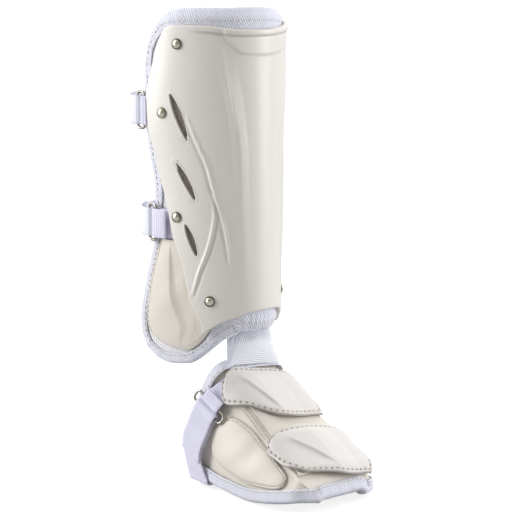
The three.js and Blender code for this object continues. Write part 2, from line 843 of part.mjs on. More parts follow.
// The tab that carries a calf strap's ring: from its rivet, under the shell's edge, over the tape
// and round the ring's front wire.
function buildCalfTab(row, side) {
  const rivet = rivetRows.find((entry) => entry.name === row.rivet);
  const middle = (webbingOuter + webbingInner) / 2;
  const ring = calfRing(row, side.sign);
  const wire = new THREE.Vector3(ring.x, ring.y - ringLength / 2 + ringWire, 0);
  const radius = ringWire + clearance + webbingWall / 2;
  const inward = legOut(side.sign * row.edge).negate();
  const turn = turnRound(wire, inward, legRound(side.sign * row.edge).multiplyScalar(side.sign), radius, 5);
  const first = rivet.angle - 4;
  const last = row.edge - 4;
  const run = 4;
  const body = sheet(3, run + turn.length, (u, v, outer, i, j) => {
    const height = row.height * guardHeight + (u - 0.5) * webbingWidth;
    const half = (outer ? -0.5 : 0.5) * webbingWall;
    if (j <= run) {
      return legPoint(side.sign * mix(first, last, j / run), height, middle + half);
    }
    const at = turn[j - run - 1];
    return at.clone().addScaledVector(at.clone().sub(wire).normalize(), -half).setZ(height);
  });
  add(`ring_tab_${row.name}_${side.name}`, body, 'webbing');
}

// The foot guard. A station is a share of footLength from its ankle end; across a station, u runs
// from the rim on the inner side over the instep to the rim on the outer side.

const footRows = [
  {
    share: 0, ridgeX: -0.16, ridge: 1.24, innerX: 0.73, inner: 0.92, outerX: 0.73, outer: 0.86,
    half: 0.95, rimInner: 0.095, rimOuter: 0.095,
  },
  {
    share: 0.107, ridgeX: -0.18, ridge: 1.13, innerX: 0.64, inner: 1.06, outerX: 0.69, outer: 1.0,
    half: 0.98, rimInner: 0.074, rimOuter: 0.074,
  },
  {
    share: 0.193, ridgeX: -0.22, ridge: 1.005, innerX: 0.56, inner: 0.995, outerX: 0.67, outer: 0.93,
    half: 1, rimInner: 0.058, rimOuter: 0.058,
  },
  {
    share: 0.25, ridgeX: -0.24, ridge: 0.94, innerX: 0.55, inner: 0.925, outerX: 0.69, outer: 0.86,
    half: 1.01, rimInner: 0.042, rimOuter: 0.042,
  },
  {
    share: 0.393, ridgeX: -0.18, ridge: 0.79, innerX: 0.55, inner: 0.77, outerX: 0.71, outer: 0.715,
    half: 1.02, rimInner: 0.021, rimOuter: 0.02,
  },
  {
    share: 0.536, ridgeX: -0.12, ridge: 0.632, innerX: 0.55, inner: 0.61, outerX: 0.76, outer: 0.558,
    half: 1.02, rimInner: 0.005, rimOuter: 0.012,
  },
  {
    share: 0.621, ridgeX: -0.04, ridge: 0.568, innerX: 0.57, inner: 0.537, outerX: 0.78, outer: 0.484,
    half: 1.02, rimInner: 0.016, rimOuter: 0.01,
  },
  {
    share: 0.75, ridgeX: 0.02, ridge: 0.447, innerX: 0.63, inner: 0.41, outerX: 0.78, outer: 0.379,
    half: 1, rimInner: 0.047, rimOuter: 0.012,
  },
  {
    share: 0.864, ridgeX: 0.04, ridge: 0.332, innerX: 0.67, inner: 0.316, outerX: 0.78, outer: 0.284,
    half: 0.96, rimInner: 0.084, rimOuter: 0.02,
  },
  {
    share: 0.95, ridgeX: 0.06, ridge: 0.242, innerX: 0.69, inner: 0.237, outerX: 0.73, outer: 0.21,
    half: 0.86, rimInner: 0.11, rimOuter: 0.035,
  },
  {
    share: 1, ridgeX: 0.06, ridge: 0.11, innerX: 0.4, inner: 0.115, outerX: 0.42, outer: 0.105,
    half: 0.56, rimInner: 0.1, rimOuter: 0.05,
  },
];

// Where the ankle end of the foot guard is cut, as a station for each place across it.
const footBackRows = [
  { u: 0, share: 0.035 },
  { u: 0.12, share: 0 },
  { u: 0.24, share: 0.02 },
  { u: 0.3, share: 0.07 },
  { u: 0.36, share: 0.12 },
  { u: 0.47, share: 0.14 },
  { u: 0.6, share: 0.13 },
  { u: 0.67, share: 0.1 },
  { u: 0.73, share: 0.045 },
  { u: 0.8, share: 0.01 },
  { u: 0.88, share: 0.01 },
  { u: 1, share: 0.035 },
];
const footBackY = -13;
const ridgeU = 0.47;

function footSection(share) {
  const get = (column) => read(footRows, 'share', share, column);
  const half = get('half');
  const side = (sign, edge, top, rim) => [
    { x: sign * half, z: rim },
    { x: sign * mix(edge, half, 0.88), z: mix(top, rim, 0.7) },
    { x: sign * mix(edge, half, 0.36), z: mix(top, rim, 0.18) },
    { x: sign * edge, z: top },
  ];
  const inner = side(-1, get('innerX'), get('inner'), get('rimInner'));
  const outer = side(1, get('outerX'), get('outer'), get('rimOuter')).reverse();
  const stops = [0, 0.12, 0.27, 0.35, ridgeU, 0.62, 0.7, 0.87, 1];
  const line = [...inner, { x: get('ridgeX'), z: get('ridge') }, ...outer];
  return line.map((point, k) => ({ u: stops[k], x: point.x * footHalfWidth, z: point.z * instepHeight }));
}

function footAt(u, share) {
  const rows = footSection(share);
  return new THREE.Vector3(read(rows, 'u', u, 'x'), footBackY - share * footLength, read(rows, 'u', u, 'z'));
}

// A place on the foot guard's face, moved out along the face's normal.
function footPoint(u, share, offset) {
  const nudge = 0.004;
  const at = footAt(u, share);
  const across = footAt(Math.min(u + nudge, 1), share).sub(footAt(Math.max(u - nudge, 0), share));
  const along = footAt(u, Math.min(share + nudge, 1)).sub(footAt(u, Math.max(share - nudge, 0)));
  return at.addScaledVector(along.cross(across).normalize(), offset);
}

// The foot pad's grid. Its second and last lines but one follow the rim, a tape's width in.
const footLines = [0, 0.07, 0.17, 0.27, 0.32, 0.38, ridgeU, 0.56, 0.62, 0.68, 0.74, 0.84, 0.93, 1];
const footColumns = footLines.length - 1;
const footBands = 10;
const toeLine = 0.962;

// How much of a section the tape covers at its rim.
function tapeShare(rimU, share) {
  const reach = 0.1;
  const next = rimU + reach * Math.sign(0.5 - rimU);
  return clamp((reach * footTapeWidth) / footAt(rimU, share).distanceTo(footAt(next, share)), 0.05, 0.16);
}

function footSpot(i, j) {
  const line = footLines[i];
  const back = read(footBackRows, 'u', line, 'share');
  const first = back + footTapeWidth / footLength;
  const inside = mix(first, toeLine, (j - 1) / (footBands - 2));
  const share = j === 0 ? back : j === footBands ? 1 : inside;
  const low = tapeShare(0, share);
  const high = 1 - tapeShare(1, share);
  const places = { 1: low, 2: mix(low, footLines[3], 0.5) };
  places[footColumns - 1] = high;
  places[footColumns - 2] = mix(high, footLines[footColumns - 3], 0.5);
  return { u: places[i] ?? line, share };
}

// The rim of that grid as a loop of columns and rows.
function footRim() {
  const spots = [];
  for (let j = 0; j < footBands; j += 1) spots.push([0, j]);
  for (let i = 0; i < footColumns; i += 1) spots.push([i, footBands]);
  for (let j = footBands; j > 0; j -= 1) spots.push([footColumns, j]);
  for (let i = footColumns; i > 0; i -= 1) spots.push([i, 0]);
  return spots;
}

// The folded tape round the rim, its two flaps reaching the grid's next line.
function footTape() {
  const outer = footGap + tapeWall;
  const inner = -footWall - footGap - tapeWall;
  const section = tapeSection(footTapeWidth, outer, inner, tapeWall);
  return ringOf(footRim().map(([i, j]) => {
    const rim = footSpot(i, j);
    const next = footSpot(clamp(i, 1, footColumns - 1), clamp(j, 1, footBands - 1));
    const at = footPoint(rim.u, rim.share, 0);
    const out = footPoint(rim.u, rim.share, 1).sub(at);
    const inwards = footPoint(next.u, next.share, 0).sub(at);
    inwards.addScaledVector(out, -inwards.dot(out)).normalize();
    return section.map(([inward, offset]) => (inward === footTapeWidth
      ? footPoint(next.u, next.share, offset)
      : at.clone().addScaledVector(inwards, inward - tapeWall - footGap).addScaledVector(out, offset)));
  }));
}

function buildFootPad() {
  const body = sheet(footColumns, footBands, (u, v, outer, i, j) => {
    const spot = footSpot(i, j);
    const pinch = onRim(i, j, footColumns, footBands) ? rimPinch : 0;
    const share = Math.min(spot.share, 1 - rimPinch / footLength);
    return footPoint(spot.u, share, outer ? -pinch : pinch - footWall);
  });
  add('foot_pad', body, 'pad');
  add('foot_binding', footTape(), 'binding');
}

// Leather on the foot guard: the two stiff plates, the instep panel they are sewn to and the side
// panel. Rows run from the plate's upper edge to its lower one.

const plates = [
  {
    name: 'foot_plate_upper',
    inner: [
      { v: 0, u: 0.345 }, { v: 0.1, u: 0.285 }, { v: 0.25, u: 0.265 }, { v: 0.6, u: 0.3 }, { v: 1, u: 0.365 },
    ],
    outer: [{ v: 0, u: 0.615 }, { v: 0.15, u: 0.645 }, { v: 0.6, u: 0.65 }, { v: 1, u: 0.62 }],
    top: [{ u: 0, share: 0.183 }, { u: 0.4, share: 0.192 }, { u: 1, share: 0.23 }],
    bottom: [{ u: 0, share: 0.44 }, { u: 0.4, share: 0.535 }, { u: 1, share: 0.53 }],
  },
  {
    name: 'foot_plate_lower',
    inner: [
      { v: 0, u: 0.35 }, { v: 0.08, u: 0.285 }, { v: 0.22, u: 0.266 }, { v: 0.7, u: 0.31 }, { v: 1, u: 0.37 },
    ],
    outer: [{ v: 0, u: 0.61 }, { v: 0.15, u: 0.645 }, { v: 0.6, u: 0.655 }, { v: 1, u: 0.64 }],
    top: [{ u: 0, share: 0.614 }, { u: 0.4, share: 0.625 }, { u: 1, share: 0.643 }],
    bottom: [{ u: 0, share: 0.9 }, { u: 0.4, share: 0.955 }, { u: 1, share: 0.965 }],
  },
];
const tongueLift = layerGap;
const tongueLines = [0.34, 0.37, 0.42, ridgeU, 0.53, 0.58, 0.62];
const tongueReach = { from: 0.24, to: 0.9 };
const plateLift = tongueLift + tongueWall + footGap;
const plateColumns = [0, 0.1, 0.2, 0.3, 0.4, 0.55, 0.7, 0.86, 1];
const plateRidgeColumn = 0.4;

function buildPlate(plate) {
  const body = sheet(plateColumns.length - 1, 7, (a, v, outer, i) => {
    const part = plateColumns[i];
    const left = read(plate.inner, 'v', v, 'u');
    const right = read(plate.outer, 'v', v, 'u');
    const beyond = (part - plateRidgeColumn) / (1 - plateRidgeColumn);
    const before = part / plateRidgeColumn;
    const u = part < plateRidgeColumn ? mix(left, ridgeU, before) : mix(ridgeU, right, beyond);
    const share = mix(read(plate.top, 'u', part, 'share'), read(plate.bottom, 'u', part, 'share'), v);
    const peak = plateRidge * clamp(1 - Math.abs(part - plateRidgeColumn) / 0.3, 0, 1) * smooth(v, 0, 0.2);
    return footPoint(u, share, plateLift + peak + (outer ? plateWall : 0));
  });
  add(plate.name, body, 'shell');
}

function buildTongue() {
  const body = sheet(tongueLines.length - 1, 8, (a, v, outer, i) => (
    footPoint(tongueLines[i], mix(tongueReach.from, tongueReach.to, v), tongueLift + (outer ? tongueWall : 0))
  ));
  add('instep_panel', body, 'leather');
}

const sidePanelRows = [
  { v: 0, low: 0.15, high: 0.17 },
  { v: 0.08, low: 0.125, high: 0.2 },
  { v: 0.2, low: 0.11, high: 0.25 },
  { v: 0.45, low: 0.11, high: 0.275 },
  { v: 0.62, low: 0.125, high: 0.262 },
  { v: 0.78, low: 0.138, high: 0.25 },
  { v: 0.92, low: 0.157, high: 0.238 },
  { v: 1, low: 0.175, high: 0.218 },
];

const sidePanelReach = { from: 0.19, to: 0.83 };

function buildSidePanel() {
  const body = sheet(6, 8, (a, v, outer) => {
    const u = mix(read(sidePanelRows, 'v', v, 'low'), read(sidePanelRows, 'v', v, 'high'), a);
    const dome = Math.sin(Math.PI * a) ** 0.6 * Math.sin(Math.PI * v) ** 0.5;
    const top = tongueLift + sidePanelWall + sidePanelDome * dome;
    return footPoint(u, mix(sidePanelReach.from, sidePanelReach.to, v), outer ? top : tongueLift);
  });
  add('foot_side_panel', body, 'leather');
}

// The foot strap: through a ring on each side, down and under the shoe. The ring hangs from a tab
// that comes out from under the upper plate.
const footRing = { u: 0.222, share: 0.15, tilt: 30 };
const footRingLift = footGap + tapeWall + clearance + strapWall + 2 * clearance + ringWire;
const footStrapRows = [
  { x: 1.065, back: 0.45, height: 0.74 },
  { x: 1.11, back: 0.85, height: 0.56 },
  { x: 1.12, back: 0.95, height: 0.38 },
  { x: 1.1, back: 0.7, height: 0.2 },
  { x: 1.08, back: 0.5, height: 0.09 },
  { x: 1.07, back: 0.4, height: 0.02 },
  { x: 0.985, back: 0.35, height: 0 },
  { x: 0.5, back: 0.35, height: 0 },
  { x: 0, back: 0.35, height: 0 },
];

function footRingAt(sign) {
  const u = sign > 0 ? footRing.u : 1 - footRing.u;
  const out = footPoint(u, footRing.share, 1).sub(footPoint(u, footRing.share, 0));
  const tilt = radians(footRing.tilt);
  const wide = new THREE.Vector3(0, -Math.cos(tilt), -Math.sin(tilt));
  wide.addScaledVector(out, -wide.dot(out)).normalize();
  const down = out.clone().cross(wide).normalize();
  down.multiplyScalar(-Math.sign(down.z));
  const at = footPoint(u, footRing.share, footRingLift);
  const half = ringLength / 2 - ringWire;
  const lowWire = at.clone().addScaledVector(down, half);
  const highWire = at.clone().addScaledVector(down, -half);
  return { sign, at, out, wide, down, lowWire, highWire };
}

// Half of the foot strap, from the inner layer at its ring to the middle under the shoe.
function footStrapHalf(ring) {
  const low = strapWall / 2 + clearance;
  const start = ring.lowWire.clone().addScaledVector(ring.out, -foldRadius);
  const line = footStrapRows.map((row) => new THREE.Vector3(
    -ring.sign * row.x * footHalfWidth,
    ring.lowWire.y + row.back * footStrapBack,
    mix(low, start.z, row.height),
  ));
  return [start, start.clone().addScaledVector(ring.down, 2 * foldRadius), ...line];
}

// The free end that lies back over it, outside.
function footStrapFlap(ring, half) {
  const lengths = 4;
  const spots = spotsAlong(half, () => ring.wide);
  return Array.from({ length: lengths }, (_, k) => {
    const gap = mix(2 * foldRadius, strapWall + clearance + 0.3, smooth(k + 1, 0, 3));
    return spots[k + 1].at.clone().addScaledVector(spots[k + 1].out, ring.sign * gap);
  });
}

function buildFootStrap() {
  const [near, far] = sides.map((side) => footRingAt(side.sign));
  const [nearHalf, farHalf] = [near, far].map(footStrapHalf);
  const turn = (ring) => {
    const steps = turnRound(ring.lowWire, ring.out, ring.down.clone().negate(), foldRadius, 5);
    return steps.slice(0, -1);
  };
  const points = [
    ...footStrapFlap(near, nearHalf).reverse(), ...turn(near), ...nearHalf,
    ...farHalf.slice(0, -1).reverse(), ...turn(far).reverse(), ...footStrapFlap(far, farHalf),
  ];
  const across = (t) => {
    const level = smooth(0.5 - Math.abs(t - 0.5), 0.25, 0.4);
    return (t < 0.5 ? near : far).wide.clone().lerp(new THREE.Vector3(0, -1, 0), level);
  };
  add('foot_strap', band(spotsAlong(points, across), footStrapWidth, strapWall), 'webbing');
  for (const ring of [near, far]) {
    const name = sides.find((side) => side.sign === ring.sign).name;
    const loop = wireLoop(ring.at, ring.wide, ring.down, ringLength, footStrapWidth + 9 * ringWire);
    add(`foot_strap_ring_${name}`, loop, 'steel');
    buildFootTab(name, ring);
  }
}

// The tab that carries a foot strap's ring: from under the upper plate, over the face and round the
// ring's upper wire.
const footTabRows = [
  { u: 0.318, share: 0.24, rise: 0 },
  { u: 0.3, share: 0.225, rise: 0 },
  { u: 0.282, share: 0.205, rise: 0.05 },
  { u: 0.264, share: 0.18, rise: 0.5 },
  { u: 0.25, share: 0.162, rise: 0.9 },
];

function buildFootTab(name, ring) {
  const radius = ringWire + clearance + webbingWall / 2;
  const turn = turnRound(ring.highWire, ring.out.clone().negate(), ring.down, radius, 5);
  const low = tongueLift + webbingWall / 2;
  const high = footRingLift - radius;
  const last = footTabRows.length - 1;
  const body = sheet(2, last + turn.length, (a, v, outer, i, j) => {
    const half = (outer ? 1 : -1) * (webbingWall / 2);
    const row = footTabRows[j];
    if (!row) {
      const at = turn[j - last - 1];
      const away = at.clone().sub(ring.highWire).normalize();
      return at.clone().addScaledVector(away, -half).addScaledVector(ring.wide, (a - 0.5) * footTabWidth);
    }
    const u = ring.sign > 0 ? row.u : 1 - row.u;
    const share = row.share + ((a - 0.5) * footTabWidth * Math.cos(radians(footRing.tilt))) / footLength;
    return footPoint(u, share, mix(low, high, row.rise) + half);
  });
  add(`foot_strap_tab_${name}`, body, 'webbing');
}

// The elastic link: from the lower edge of the shin liner down over the instep, under the upper plate

const elasticFoot = { inner: 0.355, outer: 0.61, share: 0.172 };

function buildElastic() {
  const body = sheet(6, 7, (a, v, outer) => {
    const angle = mix(-elasticTopAngle, elasticTopAngle, a);
    const row = padBottomRows;
    const top = read(row, 'angle', -angle, 'height') * guardHeight - layerGap;
    const start = legPoint(-angle, top, padMiddle + (outer ? 0.5 : -0.5) * elasticWall);
    const u = mix(elasticFoot.inner, elasticFoot.outer, a);
    const seat = footGap + tapeWall + tapeGap;
    const end = footPoint(u, elasticFoot.share, seat + (outer ? elasticWall : 0));
    return start.lerp(end, v);
  });
  add('elastic_link', body, 'elastic');
}

buildShell();
buildRivets();
buildPad();
buildShinBinding();
buildAnklePanel();
for (const row of calfStraps) {
  buildCalfStrap(row);
  for (const side of sides) {
    buildCalfTab(row, side);
  }
}
buildFootPad();
buildTongue();
plates.forEach(buildPlate);
buildSidePanel();
buildFootStrap();
buildElastic();

export default group;
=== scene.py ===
import math

import bpy
import numpy as np
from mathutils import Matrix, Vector


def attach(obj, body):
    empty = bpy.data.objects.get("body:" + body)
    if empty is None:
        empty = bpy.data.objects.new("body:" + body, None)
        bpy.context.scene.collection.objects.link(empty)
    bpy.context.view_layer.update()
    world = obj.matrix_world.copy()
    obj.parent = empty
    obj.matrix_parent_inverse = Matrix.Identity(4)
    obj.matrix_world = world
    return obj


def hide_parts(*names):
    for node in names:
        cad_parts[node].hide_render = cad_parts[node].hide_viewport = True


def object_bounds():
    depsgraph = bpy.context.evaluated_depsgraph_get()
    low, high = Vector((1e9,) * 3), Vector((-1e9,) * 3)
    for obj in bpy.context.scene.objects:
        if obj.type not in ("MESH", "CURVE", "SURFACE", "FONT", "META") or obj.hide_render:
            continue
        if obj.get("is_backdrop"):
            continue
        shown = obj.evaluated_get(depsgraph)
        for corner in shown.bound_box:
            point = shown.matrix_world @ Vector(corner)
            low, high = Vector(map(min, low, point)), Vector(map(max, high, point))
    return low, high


# A batter's leg guard: moulded shin shell, bound liner with an ankle lobe, two calf straps, and a
# foot guard with two plates that hangs from an elastic link. Shapes are worked out in millimetres
# above the sole, on two maps: the leg (angle, height, offset) and the foot guard (u, share, offset).

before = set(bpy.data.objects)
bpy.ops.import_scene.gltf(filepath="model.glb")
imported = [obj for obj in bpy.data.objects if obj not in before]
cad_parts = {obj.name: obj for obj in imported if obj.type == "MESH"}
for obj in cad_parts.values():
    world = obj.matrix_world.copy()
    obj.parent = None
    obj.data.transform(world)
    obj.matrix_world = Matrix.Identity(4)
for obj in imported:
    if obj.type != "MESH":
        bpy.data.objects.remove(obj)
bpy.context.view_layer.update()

# Sizes are millimetres and angles degrees. An offset counts from a plain outer face: the shell's
# on the leg, the cover's on the foot guard.
leg = {
    "height": 411, "seat": 262, "reach": 58, "lean": 3.5, "leanShare": 0.55, "frontRadius": 50,
    "sideRadius": 92, "frontArc": 42, "sideArc": 72,
}
layers = {
    "shellInner": -3, "webbingOuter": -3.8, "webbingInner": -5.1, "tapeOuter": -5.7,
    "padOuter": -7.3, "padInner": -14.8, "tapeInner": -16.4,
}
foot = {
    "length": 140, "halfWidth": 49, "instep": 95, "back": -13, "wall": 5, "gap": 1.6, "ridge": 0.47,
    "tapeWidth": 11.5, "tapeWall": 1.0, "tapeReach": 2.6, "tapeStitch": 9.6, "tongueLift": 0.8,
    "tongueWall": 1.2, "plateLift": 3.6,
}


def table(names, *rows):
    # named columns from rows of numbers
    return dict(zip(names.split(), np.array(rows, float).T))


def mix(low, high, share):
    return low + (high - low) * share


def ease(x, low, high):
    # 0 below low, 1 above high, a smooth S between
    t = np.clip((x - low) / (high - low), 0, 1)
    return t * t * (3 - 2 * t)


def hump(distance, width):
    # a round ridge: 1 on its line, fading over its width
    return np.exp(-((distance / width) ** 2))


def blendRows(stops, values, at):
    # cubic between two rows of a table, its slope at a row that of the two rows beside it;
    # values holds a row's value for every place, along its last axis
    last = len(stops) - 1
    x = np.clip(at, stops[0], stops[-1])
    i = np.clip(np.searchsorted(stops, x, side="left") - 1, 0, last - 1)
    before = np.maximum(np.arange(last + 1) - 1, 0)
    after = np.minimum(np.arange(last + 1) + 1, last)
    slope = (values[..., after] - values[..., before]) / (stops[after] - stops[before])
    span = stops[i + 1] - stops[i]
    t = (x - stops[i]) / span
    if values.ndim == 1:
        take = lambda grid, k: grid[k]
    else:
        take = lambda grid, k: np.take_along_axis(grid, k[..., None], -1)[..., 0]
    rise = mix(take(values, i), take(values, i + 1), t * t * (3 - 2 * t))
    leave = t * (1 - t) ** 2 * span * take(slope, i)
    return rise + leave + t * t * (t - 1) * span * take(slope, i + 1)


def readRows(rows, key, at, column):
    return blendRows(rows[key], rows[column], np.asarray(at, float))


def wayAlong(line):
    # how far each place of a line is from its start
    return np.concatenate([[0], np.cumsum(np.linalg.norm(np.diff(line, axis=0), axis=1))])


def placesAt(line, stops):
    # places on a line, each so far along it
    way = wayAlong(line)
    return np.stack([np.interp(stops, way, line[:, k]) for k in range(line.shape[1])], -1)


def blurLoop(loop, reach):
    # each place of a closed loop as the mean of itself and so many neighbours on each side
    width = 2 * reach + 1
    wrapped = np.concatenate([loop[-reach:], loop, loop[:reach]])
    return np.stack([np.convolve(column, np.ones(width) / width, "valid") for column in wrapped.T], -1)


def smoothLine(points, count):
    # a centripetal Catmull-Rom curve through the points, as count + 1 places an equal way apart
    p = np.asarray(points, float)
    p = np.vstack([2 * p[0] - p[1], p, 2 * p[-1] - p[-2]])
    gap = np.sqrt(np.maximum(np.linalg.norm(np.diff(p, axis=0), axis=1), 1e-6))
    a, b, c = gap[:-2, None], gap[1:-1, None], gap[2:, None]
    p0, p1, p2, p3 = p[:-3], p[1:-2], p[2:-1], p[3:]
    leave = ((p1 - p0) / a - (p2 - p0) / (a + b) + (p2 - p1) / b) * b
    arrive = ((p2 - p1) / b - (p3 - p1) / (b + c) + (p3 - p2) / c) * b
    stepsBetween = 24
    t = np.linspace(0, 1, stepsBetween, endpoint=False)[None, :, None]
    p1, p2, leave, arrive = p1[:, None], p2[:, None], leave[:, None], arrive[:, None]
    line = (2 * t**3 - 3 * t**2 + 1) * p1 + (t**3 - 2 * t**2 + t) * leave
    line = (line + (3 * t**2 - 2 * t**3) * p2 + (t**3 - t**2) * arrive).reshape(-1, p.shape[1])
    line = np.vstack([line, p2[-1]])
    return placesAt(line, np.linspace(0, wayAlong(line)[-1], count + 1))


# Materials

def linear(hexColour):
    # sRGB hex to linear red, green, blue and alpha
    parts = [int(hexColour[k:k + 2], 16) / 255 for k in (1, 3, 5)]
    return [c / 12.92 if c <= 0.04045 else ((c + 0.055) / 1.055) ** 2.4 for c in parts] + [1]


def addNode(tree, kind, settings=(), links=()):
    # settings are attributes by name or socket values by number or name; links join sockets to it
    node = tree.nodes.new(kind)
    for key, value in dict(settings).items():
        if isinstance(key, str) and hasattr(node, key):
            setattr(node, key, value)
        else:
            node.inputs[key].default_value = value
    for key, socket in dict(links).items():
        tree.links.new(socket, node.inputs[key])
    return node


def startMaterial(name, colour, roughness, metallic=0, **sockets):
    material = bpy.data.materials.new(name)
    material.use_nodes = True
    shader = material.node_tree.nodes["Principled BSDF"]
    shader.inputs["Base Color"].default_value = linear(colour)
    shader.inputs["Roughness"].default_value = roughness
    shader.inputs["Metallic"].default_value = metallic
    for key, value in sockets.items():
        shader.inputs[key.replace("_", " ")].default_value = value
    material.diffuse_color = linear(colour)
    return material, material.node_tree, shader


def calculate(tree, operation, first, number=0.0, added=None):
    # one sum on a socket: with a number and, where it adds, a second socket
    node = addNode(tree, "ShaderNodeMath", {"operation": operation, 1: number}, {0: first})
    if added is not None:
        tree.links.new(added, node.inputs[2])
    return node.outputs[0]


def noise(tree, place, scale, detail, roughness=0.5):
    settings = {"Scale": scale, "Detail": detail, "Roughness": roughness}
    return addNode(tree, "ShaderNodeTexNoise", settings, {"Vector": place}).outputs["Fac"]


def shadeColour(tree, shader, colour, shadedColour, pattern=None, amount=0.0, other=None):
    # the piece's "shade" attribute paints shade into seams, holes and hollows, mixing towards the shaded
    # colour; a pattern varies the colour
    shade = addNode(tree, "ShaderNodeAttribute", {"attribute_name": "shade"}).outputs["Fac"]
    base = addNode(tree, "ShaderNodeMix", {"data_type": "RGBA", 6: linear(colour), 7: linear(shadedColour)},
                   {0: shade})
    if pattern is not None:
        strength = calculate(tree, "MULTIPLY", pattern, amount)
        base = addNode(tree, "ShaderNodeMix", {"data_type": "RGBA", 7: linear(other)},
                       {0: strength, 6: base.outputs[2]})
    tree.links.new(base.outputs[2], shader.inputs["Base Color"])


def bumpFrom(tree, shader, height, distance, strength):
    bump = addNode(tree, "ShaderNodeBump", {"Strength": strength, "Distance": distance / 1000},
                   {"Height": height})
    tree.links.new(bump.outputs["Normal"], shader.inputs["Normal"])


def mouldedShell():
    # thermoformed polyurethane over foam: a soft satin gloss with a faint moulding ripple
    colour = "#eeeae4"
    material, tree, shader = startMaterial("moulded_polyurethane", colour, 0.33, IOR=1.49,
                                           Coat_Weight=0.25, Coat_Roughness=0.22)
    place = addNode(tree, "ShaderNodeTexCoord").outputs["Object"]
    ripple = noise(tree, place, 60, 3)
    grain = noise(tree, place, 900, 2)
    # 8d857d is painted shade, mixed in by the attribute at the lip's groove, the rim and the slots; the
    # ripple varies the tone
    shadeColour(tree, shader, colour, "#8d857d", ripple, 0.16, "#ded8d0")
    bumpFrom(tree, shader, calculate(tree, "MULTIPLY_ADD", grain, 0.12, ripple), 0.35, 0.5)
    return material


def embossedLeather(name, colour, pore, depth):
    # coated split leather, embossed: fine pores about a millimetre apart and soft creasing
    material, tree, shader = startMaterial(name, colour, 0.42, IOR=1.48)
    place = addNode(tree, "ShaderNodeTexCoord").outputs["Object"]
    pores = addNode(tree, "ShaderNodeTexVoronoi", {"Scale": 1000 / pore}, {"Vector": place})
    folds = noise(tree, place, 85, 4, 0.6)
    both = calculate(tree, "MULTIPLY_ADD", pores.outputs["Distance"], 0.22, folds)
    shadeColour(tree, shader, colour, "#7b7168", folds, 0.14, "#cfc6ba")
    bumpFrom(tree, shader, both, depth, 0.5)
    return material


# two ways of weaving: the first set of ribs slants by so much, the second is weaker by a share, and
# the range is what both reach together
plainWeave = {"slant": 0, "share": 0.45, "range": 1.3, "roughness": 0.87, "sheen": 0.2}
twillWeave = {"slant": 1, "share": 0.3, "range": 1.2, "roughness": 0.86, "sheen": 0.25}


def wovenCloth(name, colour, other, pitches, depth, amount, shadedColour="#8b8794", weave=plainWeave):
    # matt woven goods, with ribs across and along at two spacings in millimetres; a spacing far
    # wider than the piece leaves the other set alone
    material, tree, shader = startMaterial(name, colour, weave["roughness"], IOR=1.46,
                                           Sheen_Weight=weave["sheen"])
    place = addNode(tree, "ShaderNodeUVMap", {"uv_map": "cloth"}).outputs["UV"]
    parts = addNode(tree, "ShaderNodeSeparateXYZ", {}, {0: place}).outputs
    slanted = calculate(tree, "MULTIPLY_ADD", parts["Y"], weave["slant"], parts["X"])
    waves = [calculate(tree, "SINE", calculate(tree, "MULTIPLY", socket, 2 * math.pi / pitch))
             for socket, pitch in zip((slanted, parts["Y"]), pitches)]
    height = calculate(tree, "MULTIPLY_ADD", waves[1], weave["share"], waves[0])
    # the colour follows the weave: its low places are mixed towards the other colour, painted shade in the
    # hollows that also draws the weave's pattern
    level = addNode(tree, "ShaderNodeMapRange", {1: weave["range"], 2: -weave["range"], 3: 0.0, 4: 1.0},
                    {0: height})
    shadeColour(tree, shader, colour, shadedColour, level.outputs[0], amount, other)
    bumpFrom(tree, shader, height, depth, 0.6)
    return material


def polishedSteel():
    # drawn steel wire, polished and nickel plated: mirror bright, a little grey
    return startMaterial("nickel_plated_wire", "#a8a49e", 0.2, 1)[0]


def shadedRimBrass():
    # pressed brass cap, clear lacquered: bright crown, and painted shade, a darker olive, round its rim by
    # the attribute
    material, tree, shader = startMaterial("pressed_brass", "#e4e0cc", 0.2, 1)
    shadeColour(tree, shader, "#e8e4d2", "#4e4a35")
    return material


def cottonThread():
    # bonded sewing thread, a twisted cord with a dull shine
    return startMaterial("sewing_thread", "#d8d2c8", 0.6)[0]


finish = {
    "shell": mouldedShell(),
    "plate": embossedLeather("pressed_leather_plate", "#dfdbd8", 0.9, 0.15),
    "leather": embossedLeather("embossed_cream_leather", "#e1dbd1", 1.1, 0.42),
    "tape": wovenCloth("woven_twill_tape", "#f6f7ff", "#b6b9e0", (2.4, 0.8), 0.4, 0.36, "#8f8c9c",
                       twillWeave),
    "pad": wovenCloth("brushed_terry_lining", "#f1f0f3", "#d6d4dc", (2.2, 2.2), 0.3, 0.25, "#f0e4d6"),
    "webbing": wovenCloth("ribbed_webbing", "#f8f9ff", "#a9b1d4", (400, 2.6), 0.4, 0.45),
    "tabWebbing": wovenCloth("lilac_webbing", "#f0efff", "#a8a6c8", (400, 2.6), 0.4, 0.45),
    "elastic": wovenCloth("knitted_elastic", "#f8faff", "#b8c0e0", (400, 2), 0.2, 0.28),
    "steel": polishedSteel(),
    "rivet": shadedRimBrass(),
    "thread": cottonThread(),
}
print("materials made")


# Meshes

